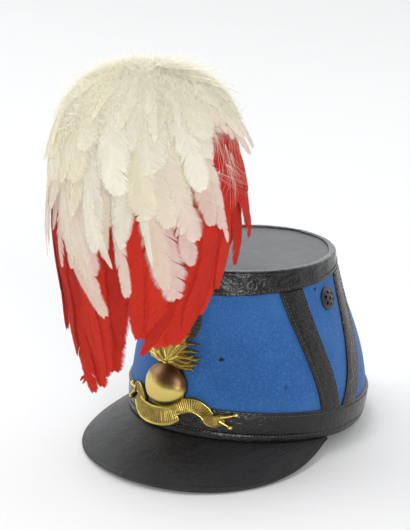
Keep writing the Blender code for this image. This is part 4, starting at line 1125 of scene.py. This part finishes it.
# The plume: cock feathers tied in tiers to a wire stem, so that they fall as an umbrella in
# front of the crown. The lower tier is dyed red, the upper one is left cream-white, and down
# and loose wisps stand up where the quills meet at the top.
PLUME_LEAN = math.radians(7.3)
PLUME_SIDE = -5.0 * MM
PLUME_AHEAD = 51.4 * MM
PLUME_RISE = 137.8 * MM
PLUME_RADIUS = 64.0 * MM
PLUME_DROP = 206.0 * MM
QUILL_HALF_WIDTH = 0.5 * MM
BARB_HALF_WIDTH = 0.15 * MM
CUP_LENGTH = 60 * MM
LOCK_SAG = 0.9 * MM
LOCK_PLY = 0.28 * MM
UMBRELLA = table("drop radius",
                 (0.000, 0.00), (0.010, 0.25), (0.030, 0.47), (0.065, 0.66), (0.120, 0.81),
                 (0.200, 0.92), (0.300, 0.985), (0.420, 1.00), (0.520, 1.00), (0.630, 0.94),
                 (0.730, 0.86), (0.830, 0.80), (0.920, 0.72), (1.000, 0.65), (1.150, 0.55))
fine = np.linspace(0.0, 1.15, 600)
drops = [row["drop"] for row in UMBRELLA]
fine_radius = PLUME_RADIUS * np.interp(fine, drops, [row["radius"] for row in UMBRELLA])
fine_drop = PLUME_DROP * fine
fine_run = np.concatenate(([0.0], np.cumsum(np.hypot(np.diff(fine_drop), np.diff(fine_radius)))))
even_run = np.linspace(0.0, fine_run[-1], 400)
even_drop = np.interp(even_run, fine_run, fine_drop)
even_radius = np.interp(even_run, fine_run, fine_radius)
window = np.hanning(31) / np.hanning(31).sum()
even_radius[16:-16] = np.convolve(even_radius, window, "same")[16:-16]
plume_top = (PLUME_SIDE, -(CROWN_FORWARD + TOP_HALF_LENGTH + PLUME_AHEAD), CROWN_HEIGHT + PLUME_RISE)
PLUME = Matrix.Translation(plume_top) @ Matrix.Rotation(PLUME_LEAN, 4, "X")


def plume_point(turn, run, offset):
    """Points at turns from the front and at runs down the umbrella from its top, set off it."""
    turn, run, offset = np.broadcast_arrays(*(np.asarray(v, float) for v in (turn, run, offset)))
    radius = np.interp(run, even_run, even_radius)
    drop = np.interp(run, even_run, even_drop)
    step = 2 * MM
    rise = np.interp(run + step, even_run, even_radius) - np.interp(run - step, even_run, even_radius)
    fall = np.interp(run + step, even_run, even_drop) - np.interp(run - step, even_run, even_drop)
    size = np.hypot(rise, fall)
    radius = radius + offset * fall / size
    level = -drop + offset * rise / size
    local = np.stack((radius * np.sin(turn), -radius * np.cos(turn), level), -1)
    return moved(local, PLUME)


class Tier:
    """Feathers of one colour, gathered into one mesh."""

    def __init__(self, name, finish, seed):
        self.name = name
        self.finish = finish
        self.pick = np.random.default_rng(seed)
        self.points, self.faces, self.maps, self.tones, self.margins, self.blushes = [], [], [], [], [], []
        self.count = 0

    def add(self, grid, u, v, tone, blush, soft=0.0):
        """Strips through grids of points, as an array of strips, rows, columns and axes."""
        strips, rows, columns = grid.shape[:3]
        index = self.count + np.arange(strips * rows * columns).reshape(strips, rows, columns)
        quads = np.stack((index[:, :-1, :-1], index[:, :-1, 1:], index[:, 1:, 1:], index[:, 1:, :-1]), -1)
        self.points.append(grid.reshape(-1, 3))
        self.faces.append(quads.reshape(-1, 4))
        self.maps.append(np.stack((u, v), -1).reshape(-1, 2))
        self.margins.append((np.abs(v) * (1.0 + soft)).ravel())
        self.tones.append(np.full(index.size, tone))
        self.blushes.append(np.full(index.size, blush))
        self.count += index.size

    def feather(self, root, tip, end, length, width, base=3.0, lift=2.0, bow=0.0, roll=0.0, rows=26,
                split=0.25, blunt=0.5, cup=1.0, blush=0.0, up=0.0, soft=0.0):
        """One feather: turns of its root and tip in degrees, its end as a share of the plume's drop,
        and its length, width, base, lift and up in millimetres. Its vane is split into locks."""
        pick = self.pick
        tip_run = np.interp(end * PLUME_DROP, even_drop, even_run)
        length = min(length * MM, tip_run - 0.2 * MM)
        s = np.linspace(0.0, 1.0, 16)
        turn = np.radians(root + (tip - root) * s ** 1.3 + bow * np.sin(math.pi * s))
        offset = (base * (0.2 + 0.8 * np.sqrt(s)) + lift * s ** 2) * MM
        spine = plume_point(turn, tip_run - length * (1.0 - s), offset)
        outward = plume_point(turn, tip_run - length * (1.0 - s), offset + MM) - spine
        spine[:, 2] += up * MM * s ** 2
        along = np.gradient(spine, axis=0)
        along /= np.linalg.norm(along, axis=1, keepdims=True)
        side = np.cross(outward, along)
        side /= np.linalg.norm(side, axis=1, keepdims=True)
        outward = np.cross(along, side)
        tilt = math.radians(roll) * s[:, None]
        side, outward = (side * np.cos(tilt) + outward * np.sin(tilt),
                         outward * np.cos(tilt) - side * np.sin(tilt))
        feet = np.linspace(0.03, 0.99, rows)
        tone = pick.uniform(0.0, 1.0)
        drift = pick.uniform(0.0, 1.0)
        share = np.array((0.0, 0.3, 0.62, 0.86, 1.0))
        swell = np.clip(feet / 0.25, 0.0, 1.0) ** 0.6
        close = np.sqrt(np.clip(1.0 - np.clip((feet - blunt) / (1.0 - blunt), 0.0, 1.0) ** 2.4, 0.0, 1.0))
        half_width = 0.5 * width * MM * swell * np.maximum(close, 0.05)
        for hand in (-1.0, 1.0):
            cuts = pick.choice(np.arange(3, rows - 2), round(split * 0.4 * rows), replace=False)
            cuts = np.concatenate(([0], np.sort(cuts), [rows - 1]))
            sizes = np.diff(cuts) + 1
            row = np.concatenate([np.arange(first, last + 1) for first, last in zip(cuts, cuts[1:])])
            lock = np.repeat(np.arange(len(sizes)), sizes)
            local = np.concatenate([np.linspace(-1.0, 1.0, size) for size in sizes])
            wide = half_width[row] * pick.uniform(0.86, 1.05, len(sizes))[lock] * (1.0 - 0.10 * local ** 4)
            wide = wide * (1.0 + 0.04 * np.sin(feet[row] * 23.0 + drift * 9.0))
            sag = pick.normal(0.0, LOCK_SAG * (0.3 + split), len(sizes))[lock]
            slit = pick.uniform(0.3, 1.6, len(sizes))[lock] * (0.5 + split) * MM
            slit = np.where((row == 0) | (row == rows - 1), 0.0, slit)
            reach_out = wide[:, None] * share
            advance = wide[:, None] * (0.75 * share + 0.55 * share ** 2)
            ahead = (1.015 - feet[row])[:, None] * length
            advance = ahead * (1.0 - np.exp(-advance / ahead))
            advance = advance + (sag - slit * local)[:, None] * share ** 2
            place = feet[row][:, None] + advance / length
            past = np.clip(place - 1.0, 0.0, None) * length
            near = np.clip(place, 0.0, 1.0)
            at = [np.stack([np.interp(near, s, line[:, axis]) for axis in range(3)], -1)
                  for line in (spine, side, outward, along)]
            ply = pick.normal(0.0, LOCK_PLY, len(sizes))[lock][:, None] * share ** 2
            sink = ply - cup * reach_out ** 2 / CUP_LENGTH
            grid = (at[0] + at[1] * (hand * reach_out)[..., None] + at[2] * sink[..., None]
                    + at[3] * past[..., None])
            u = feet[row][:, None] * length + drift + 0.0 * place
            v = hand * share + 0.0 * place
            for first, last in zip(np.cumsum(sizes) - sizes, np.cumsum(sizes)):
                turned = slice(None) if hand > 0 else slice(None, None, -1)
                self.add(grid[None, first:last, turned], u[None, first:last, turned],
                         v[None, first:last, turned], tone, blush, soft)
        thick = (QUILL_HALF_WIDTH * (1.0 - 0.8 * s))[:, None, None]
        quill = spine[:, None, :] + side[:, None, :] * np.array((-1.0, 0.0, 1.0))[None, :, None] * thick
        quill = quill + outward[:, None, :] * (np.array((0.1, 0.7, 0.1))[None, :, None] * thick)
        self.add(quill[None], (s[:, None] * length + drift + np.zeros((1, 3)))[None], np.zeros((1, 16, 3)),
                 tone, blush)

    def barbs(self, count, turns, runs, lifts=(0.5, 6.0), strands=9, spread=0.10):
        """Locks of long loose barbs that fan out over the feathers and soften their outline."""
        pick = self.pick
        s = np.linspace(0.0, 1.0, 8)
        for _ in range(count):
            turn = math.radians(pick.uniform(*turns))
            start = pick.uniform(*runs) * MM
            length = pick.uniform(20.0, 44.0) * MM
            drift = pick.normal(0.0, 0.30)
            bend = pick.normal(0.0, 0.15)
            lift = pick.uniform(*lifts)
            tone = pick.uniform(0.0, 0.7)
            for _ in range(strands):
                long = length * pick.uniform(0.6, 1.0)
                swing = turn + (drift + pick.normal(0.0, spread)) * s
                swing = swing + (bend + pick.normal(0.0, 0.06)) * s ** 2
                offset = (2.0 + 1.6 * s + lift * pick.uniform(0.6, 1.1) * s ** 2) * MM
                core = plume_point(swing, start + long * s, offset)
                beside = plume_point(swing + 0.02, start + long * s, offset) - core
                beside /= np.linalg.norm(beside, axis=1, keepdims=True)
                thin = beside * (BARB_HALF_WIDTH * (1.0 - 0.75 * s))[:, None]
                grid = np.stack((core - thin, core + thin), 1)
                self.add(grid[None], np.full((1, 8, 2), turn), np.zeros((1, 8, 2)), tone, 0.0)

    def build(self):
        """The tier's one mesh object, with its UV map and painted numbers."""
        points = moved(np.concatenate(self.points), HAT)
        faces = np.concatenate(self.faces)
        mesh = bpy.data.meshes.new(self.name)
        mesh.from_pydata(points.tolist(), [], faces.tolist())
        layer = mesh.uv_layers.new(name="surface")
        layer.data.foreach_set("uv", np.concatenate(self.maps)[faces.ravel()].astype(np.float32).ravel())
        for label, lists in (("tone", self.tones), ("margin", self.margins), ("blush", self.blushes)):
            attribute = mesh.attributes.new(label, "FLOAT", "POINT")
            attribute.data.foreach_set("value", np.concatenate(lists).astype(np.float32))
        mesh.materials.append(self.finish.material)
        mesh.shade_smooth()
        return added(self.name, mesh)


def plumage(name, pale, deep, blushed, glow):
    """Feather vanes: barbs run off the quill, and light comes softly through them."""
    made = Finish(name, pale, 0.8, Specular_IOR_Level=0.15)
    vane = made.place("UV")
    barbs = made.noise(made.stretch(vane, (1300.0, 1.2, 1.0)), 1.0, 3.0, 0.7)
    locks = made.noise(made.stretch(vane, (340.0, 0.8, 1.0)), 1.0, 3.0, 0.55)
    margin = made.number("margin")
    streaks = made.noise(made.stretch(vane, (620.0, 1.0, 1.0)), 1.0, 2.0, 0.6)
    colour = made.mix(pale, deep, (made.number("tone") * 0.6 + locks * 0.9 - 0.45).between(0.0, 0.8))
    colour = made.mix(colour, tuple(0.70 * c for c in deep), streaks.between(0.52, 0.70) * 0.42)
    colour = made.mix(colour, tuple(0.74 * c for c in deep), barbs.between(0.5, 0.8) * 0.30)
    colour = made.mix(colour, blushed, made.number("blush") * locks.between(0.2, 0.65))
    made.set("Base Color", colour)
    made.set("Normal", made.bump(barbs * 0.3 + streaks * 0.7 + locks, 0.8, 0.9 * MM))
    thin = (margin - 0.66) * 1.6 + (barbs - 0.5) * 1.1 + (locks - 0.5) * 0.6
    alpha = 1.0 - thin.between(0.12, 0.72)
    made.set("Alpha", alpha)
    through = made.node("ShaderNodeBsdfTranslucent", None, {"Color": pale})
    clear = made.node("ShaderNodeBsdfTransparent")
    lit = made.node("ShaderNodeMixShader", None, {0: alpha, 1: clear, 2: through})
    both = made.node("ShaderNodeMixShader", None, {0: glow, 1: Link(made, made.shader.outputs[0]), 2: lit})
    made.tree.links.new(both.socket, made.output.inputs["Surface"])
    return made


red_plumage = plumage("red_feathers", (0.60, 0.027, 0.015), (0.33, 0.009, 0.007), (0.64, 0.047, 0.023), 0.20)
white_plumage = plumage("white_feathers", (0.94, 0.925, 0.84), (0.86, 0.79, 0.58), (0.89, 0.70, 0.64), 0.50)

# The locks of each tier, by the turn of their middle, the share of the plume's drop that they reach
# and half their width in degrees.
LOCKS = {
    "red": ((-150, 0.70, 16), (-126, 0.72, 15), (-103, 0.73, 14), (-80, 0.76, 14), (-58, 0.78, 15),
            (-37, 0.86, 15), (-18, 0.93, 14), (2, 0.98, 16), (18, 0.92, 9), (34, 0.79, 8), (47, 0.81, 11),
            (68, 0.80, 12), (84, 0.74, 10), (100, 0.63, 10), (118, 0.58, 12), (139, 0.63, 13),
            (160, 0.69, 13), (182, 0.71, 13)),
    "white": ((-148, 0.44, 17), (-120, 0.52, 16), (-95, 0.60, 14), (-74, 0.67, 13), (-52, 0.64, 13),
              (-30, 0.60, 12), (-8, 0.58, 12), (14, 0.70, 12), (30, 0.60, 8), (43, 0.50, 9), (59, 0.62, 12),
              (76, 0.40, 9), (92, 0.20, 9), (112, 0.24, 12), (136, 0.32, 12), (160, 0.40, 16),
              (-172, 0.46, 14)),
}
NOTCH = {"red": 0.50, "white": 0.20}
HAT_CLEARANCE = 5.0 * MM
HACKLE_SHARE = 0.4


def near_hat(point):
    """Whether a point in the hat's frame lies in the crown or close to it."""
    middle = crown_ring(1.0)[2]
    top = CROWN_HEIGHT + over_lip + (point[1] - middle) * math.sin(CROWN_TILT)
    if point[2] > top + HAT_CLEARANCE:
        return False
    half_width, half_length, middle = crown_ring(min(max(point[2] / CROWN_HEIGHT, 0.0), 1.0))
    wall = outer + HAT_CLEARANCE
    return (point[0] / (half_width + wall)) ** 2 + ((point[1] - middle) / (half_length + wall)) ** 2 < 1.0


def hem(colour, turn):
    """How far down a tier's feathers reach at a turn, as a share of the plume's drop."""
    end = NOTCH[colour]
    for middle, drop, half in LOCKS[colour]:
        off = abs((turn - middle + 180) % 360 - 180) / half
        if off < 1.0:
            end = max(end, NOTCH[colour] + (drop - NOTCH[colour]) * (1.0 - off ** 2.2))
    while end > 0.1:
        tip_run = np.interp(end * PLUME_DROP, even_drop, even_run)
        if not near_hat(plume_point(math.radians(turn), tip_run, 0.0)):
            break
        end -= 0.01
    return end


# Red feathers that the photograph shows, by the turns of root and tip, the end and the form.
RED_KEYS = table("root tip end length width lift bow blunt roll",
                 (-38, -44, 0.87, 120, 30, 7, -7, 0.35, 14), (-22, -26, 0.93, 120, 22, 8, -6, 0.35, 5),
                 (-20, -9, 1.05, 155, 23, 9, -9, 0.45, -16), (-8, 1, 0.99, 140, 22, 4, -2, 0.5, 14),
                 (2, 12, 0.96, 130, 23, 3, 2, 0.55, -10), (10, 17, 0.88, 120, 22, 2, 3, 0.45, 8),
                 (22, 20, 0.82, 110, 21, 2, 2, 0.4, -6), (30, 33, 0.83, 125, 18, 2, 1, 0.25, 10),
                 (34, 45, 0.83, 120, 27, 3, 0, 0.7, 6), (45, 50, 0.85, 120, 26, 4, 2, 0.7, -8),
                 (66, 36, 0.87, 70, 9, 7, 2, 0.5, 0), (72, 56, 0.84, 120, 26, 5, 9, 0.45, 10),
                 (78, 66, 0.80, 115, 25, 4, 9, 0.45, -12), (84, 78, 0.76, 105, 20, 2, 5, 0.35, 5),
                 (92, 90, 0.68, 95, 20, 2, 3, 0.35, -8), (99, 106, 0.62, 95, 17, 3, 3, 0.3, 10),
                 (108, 124, 0.55, 85, 18, 6, 2, 0.3, 14), (100, 118, 0.50, 80, 20, 6, 0, 0.3, 0),
                 (80, 92, 0.42, 78, 24, 5, 0, 0.4, 0), (88, 104, 0.40, 76, 24, 5, 0, 0.4, 6),
                 (104, 116, 0.38, 74, 24, 5, 0, 0.4, -6), (-33, -37, 0.80, 105, 27, 5, -4, 0.4, 4),
                 (-46, -46, 0.74, 100, 22, 5, -4, 0.35, 8), (-14, -5, 0.97, 135, 25, 4, -3, 0.5, 0),
                 (-4, -3, 1.03, 140, 22, 5, -2, 0.5, -6), (4, 3, 0.98, 130, 22, 5, 1, 0.5, 6))
red_tier = Tier("plume_red_feathers", red_plumage, 7)
for turn in np.arange(-176.0, 184.0, 9.0):
    for tier_drop, width in ((0.62, 17.0), (0.80, 16.0), (0.97, 15.0)):
        spot = turn + red_tier.pick.uniform(-4, 4)
        end = hem("red", spot) * tier_drop * red_tier.pick.uniform(0.93, 1.0)
        red_tier.feather(spot + red_tier.pick.uniform(-5, 5), spot, end, 90, width, base=-3.0 * tier_drop,
                         lift=red_tier.pick.uniform(0.5, 2.5), roll=red_tier.pick.uniform(-14, 14), rows=20,
                         split=0.12, blunt=0.4, blush=0.5)
for key in RED_KEYS:
    red_tier.feather(base=0.0, rows=32, split=0.12, blush=0.35, **key)
for start, finish_turn in ((-2, -30), (-4, -24)):
    red_tier.feather(start, finish_turn, 1.035, 32, 4.0, base=3.0, lift=7.0, rows=12, split=0.5)
keep(red_tier.build(), "red_feather", "plume_red")

# White feathers that the photograph shows, charted in the same way.
WHITE_KEYS = table("root tip end length width lift bow blunt split blush roll",
                   (-36, -42, 0.61, 100, 15, 4, -3, 0.3, 0.25, 0.0, None),
                   (-48, -58, 0.57, 95, 17, 4, -3, 0.4, 0.25, 0.0, None),
                   (-26, -32, 0.57, 95, 17, 3, -2, 0.4, 0.25, 0.3, None),
                   (-20, -18, 0.61, 75, 14, 2, 2, 0.3, 0.6, 0.8, None),
                   (-12, -8, 0.60, 80, 15, 2, 2, 0.3, 0.5, 0.8, None),
                   (-22, 15, 0.735, 118, 18, 5, -4, 0.62, 0.2, 0.0, None),
                   (-14, 12, 0.66, 100, 17, 4, -3, 0.4, 0.45, 0.7, None),
                   (-8, 5, 0.62, 90, 20, 3, 0, 0.4, 0.5, 0.6, None),
                   (-2, 22, 0.56, 80, 12, 5, -2, 0.3, 0.25, 0.0, 20),
                   (-4, 10, 0.60, 90, 18, 3, 1, 0.4, 0.25, 0.7, None),
                   (4, 12, 0.52, 80, 18, 4, 1, 0.4, 0.25, 0.0, None),
                   (24, 29, 0.66, 115, 10, 4, -2, 0.86, 0.25, 0.0, 8),
                   (28, 27, 0.50, 85, 17, 3, 0, 0.4, 0.25, 0.0, None),
                   (37, 43, 0.55, 75, 7, 4, -2, 0.2, 0.25, 0.0, 12),
                   (40, 57, 0.665, 85, 26, 4, 0, 0.45, 0.4, 0.9, None),
                   (44, 51, 0.635, 85, 18, 3, -3, 0.35, 0.5, 0.7, None),
                   (46, 65, 0.56, 75, 18, 3, 3, 0.35, 0.5, 0.9, None),
                   (36, 66, 0.48, 100, 25, 5, 1, 0.45, 0.35, 0.7, None),
                   (30, 52, 0.43, 90, 23, 5, 0, 0.5, 0.25, 0.3, None),
                   (34, 39, 0.405, 90, 26, 6, 0, 0.6, 0.25, 0.0, None),
                   (12, 26, 0.325, 80, 23, 9, 0, 0.6, 0.25, 0.0, None),
                   (56, 68, 0.32, 72, 20, 9, 1, 0.6, 0.25, 0.0, None),
                   (62, 75, 0.44, 80, 18, 5, 2, 0.5, 0.4, 0.7, None),
                   (70, 86, 0.505, 85, 9, 5, 4, 0.3, 0.7, 0.8, None),
                   (66, 82, 0.46, 80, 15, 4, 4, 0.3, 0.7, 0.8, None),
                   (78, 97, 0.20, 54, 12, 5, 0, 0.3, 0.5, 0.6, None),
                   (95, 113, 0.265, 62, 17, 6, 0, 0.4, 0.25, 0.3, None),
                   (102, 126, 0.26, 60, 17, 6, 0, 0.4, 0.25, 0.0, None),
                   (88, 106, 0.21, 56, 15, 6, 0, 0.4, 0.25, 0.0, None))
white_tier = Tier("plume_white_feathers", white_plumage, 19)
WHITE_ROWS = table("share width length base spacing",
                   (0.98, 14.0, 86.0, 0.5, 10.0), (0.86, 16.0, 86.0, 1.2, 10.5),
                   (0.74, 18.0, 84.0, 1.9, 11.0), (0.64, 26.0, 104.0, 2.4, 18.0),
                   (0.52, 31.0, 100.0, 2.8, 25.0), (0.38, 30.0, 90.0, 3.0, 18.0),
                   (0.26, 28.0, 66.0, 3.2, 18.0))
for index, row in enumerate(WHITE_ROWS):
    share = row["share"]
    hackle = share < HACKLE_SHARE
    for turn in np.arange(-178.0 + 4.0 * (index % 2), 182.0, row["spacing"]):
        spot = turn + white_tier.pick.uniform(-5, 5)
        shown = -60.0 < spot < 112.0
        end = hem("white", spot) * share * white_tier.pick.uniform(0.86, 1.06 if share < 0.9 else 1.0)
        if shown and share > 0.8:
            end *= 0.90
        sway = white_tier.pick.uniform(-9, 9)
        wide = row["width"] * white_tier.pick.uniform(0.75, 1.15)
        white_tier.feather(spot - sway, spot, end, row["length"], wide, base=row["base"],
                           lift=white_tier.pick.uniform(1.0, 4.0), bow=white_tier.pick.uniform(-4, 4),
                           roll=white_tier.pick.uniform(-9, 9), rows=22, split=0.5 if hackle else 0.2,
                           soft=1.5 if hackle else 0.2,
                           blunt=0.12 if hackle else white_tier.pick.uniform(0.35, 0.65),
                           blush=white_tier.pick.uniform(0.0, 0.6) if share > 0.7 else 0.0)
for key in WHITE_KEYS:
    free_roll = white_tier.pick.uniform(-10, 10)
    if key["roll"] is None:
        key["roll"] = free_roll
    white_tier.feather(rows=30, cup=1.4, soft=0.1, base=3.5, **key)
white_tier.barbs(110, (-180.0, 180.0), (40.0, 95.0))
white_tier.barbs(460, (-180.0, 180.0), (1.0, 50.0))
keep(white_tier.build(), "white_feather", "plume_white")


# Down and wisps at the top: soft tufts from the quills' feet hide the stem's head, and a few
# long thin wisps blow up and back from it.
down = Finish("white_down", (0.88, 0.86, 0.76), 0.9, Specular_IOR_Level=0.1)
curl = down.noise(down.place(), 500.0, 3.0)
down_colour = down.mix((0.90, 0.88, 0.80), (0.72, 0.67, 0.48), curl.between(0.45, 0.8))
down.set("Base Color", down_colour)
lit_down = down.node("ShaderNodeBsdfTranslucent", None, {"Color": (0.86, 0.83, 0.70)})
down_both = down.node("ShaderNodeMixShader", None,
                      {0: 0.45, 1: Link(down, down.shader.outputs[0]), 2: lit_down})
down.tree.links.new(down_both.socket, down.output.inputs["Surface"])

TUFT_STRANDS = 12
TUFT_LENGTH = 15 * MM
STRAND_HALF_WIDTH = 0.17 * MM
CAP_REACH = 74 * MM
CAP_OFFSET = 2.5 * MM
TUFTS_PER_SQUARE_METRE = 56000.0
pick = np.random.default_rng(31)
tuft_points = []
tuft_faces = []
for strand in range(TUFT_STRANDS):
    turn = 2 * math.pi * strand / TUFT_STRANDS + pick.uniform(-0.2, 0.2)
    s = np.linspace(0.0, 1.0, 6)
    long = TUFT_LENGTH * pick.uniform(0.6, 1.15)
    swing = turn + pick.uniform(-1.2, 1.2) * s ** 2
    far = long * (0.25 * s + 0.65 * s ** 2)
    tall = long * (0.6 * s - 0.42 * s ** 2 * pick.uniform(0.2, 1.2))
    core = np.stack((far * np.cos(swing), far * np.sin(swing), tall), -1)
    beside = np.stack((-np.sin(swing), np.cos(swing), 0 * s), -1)
    thin = beside * (STRAND_HALF_WIDTH * (1.0 - 0.8 * s))[:, None]
    first = len(tuft_points)
    for low_edge, high_edge in zip(core - thin, core + thin):
        tuft_points += [tuple(low_edge), tuple(high_edge)]
    tuft_faces += [(first + 2 * k, first + 2 * k + 1, first + 2 * k + 3, first + 2 * k + 2) for k in range(5)]
tuft_mesh = bpy.data.meshes.new("tuft")
tuft_mesh.from_pydata(tuft_points, [], tuft_faces)
tuft_mesh.shade_smooth()
tuft = added("tuft", tuft_mesh)

down_tree, given = node_group("down", ("Density", "Smallest", "Largest"))
strewn = tree_node(down_tree, "GeometryNodeDistributePointsOnFaces", None,
                   {"Mesh": given["Geometry"], "Density": given["Density"], "Seed": 5})
shape = tree_node(down_tree, "GeometryNodeObjectInfo", None, {"Object": tuft})
spin = tree_node(down_tree, "FunctionNodeRandomValue", None, {3: 2 * math.pi, "Seed": 6})
about = tree_node(down_tree, "FunctionNodeAxisAngleToRotation", None, {"Angle": spin[1]})
turned = tree_node(down_tree, "FunctionNodeRotateRotation", {"rotation_space": "LOCAL"},
                   {0: strewn["Rotation"], 1: about[0]})
grown = tree_node(down_tree, "FunctionNodeRandomValue", None,
                  {2: given["Smallest"], 3: given["Largest"], "Seed": 8})
planted = tree_node(down_tree, "GeometryNodeInstanceOnPoints", None,
                    {"Points": strewn["Points"], "Instance": shape["Geometry"], "Rotation": turned[0],
                     "Scale": grown[1]})
hand_out(down_tree, planted["Instances"], down.material)

cap_turns = around(48)[:, None]
cap_runs = np.linspace(0.3 * MM, CAP_REACH, 18)[None, :]
cap = skin("down_cap", plume_point(cap_turns, cap_runs, CAP_OFFSET), [down], ring=True)
tufts = grow("plume_down", cap, down_tree,
             {"Density": TUFTS_PER_SQUARE_METRE, "Smallest": 0.5, "Largest": 1.15})
tufts.data.shade_smooth()
keep(tufts, "white_feather", "plume_white")
bpy.data.objects.remove(tuft)

WISPS = table("root tip end length width up",
              (55, 72, 0.045, 46, 9, 17), (62, 84, 0.070, 52, 8, 24), (70, 92, 0.085, 54, 7, 20),
              (74, 100, 0.11, 56, 8, 22), (80, 108, 0.13, 54, 7, 15), (84, 120, 0.14, 52, 8, 10))
wisp_tier = Tier("plume_wisps", white_plumage, 23)
for key in WISPS:
    wisp_tier.feather(base=4.0, lift=4.0, rows=44, split=1.8, blunt=0.12, soft=1.3, **key)
wisp_tier.barbs(70, (30.0, 130.0), (2.0, 24.0), (5.0, 14.0), 18, 0.22)
wisp_tier.barbs(70, (-180.0, 30.0), (2.0, 30.0), (3.0, 10.0), 14, 0.22)
keep(wisp_tier.build(), "white_feather", "plume_white")


# The stem: a plain wire, bent forward over the crown band's edge, that carries the feathers.
# They hide it from the front, and its CAD solid has its true form.
wire = Finish("dull_wire", (0.30, 0.29, 0.27), 0.48, Metallic=1.0)
drawn = wire.noise(wire.stretch(wire.place(), (1.0, 1.0, 0.08)), 2500.0, 3.0)
wire.set("Roughness", 0.38 + drawn * 0.3)
wire.set("Base Color", wire.mix((0.22, 0.20, 0.18), (0.42, 0.41, 0.39), drawn))
stem = frame["nodes"]["plume_stem"]
stem.data.materials.clear()
stem.data.materials.append(wire.material)
stem.data.shade_smooth()

low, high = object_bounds()
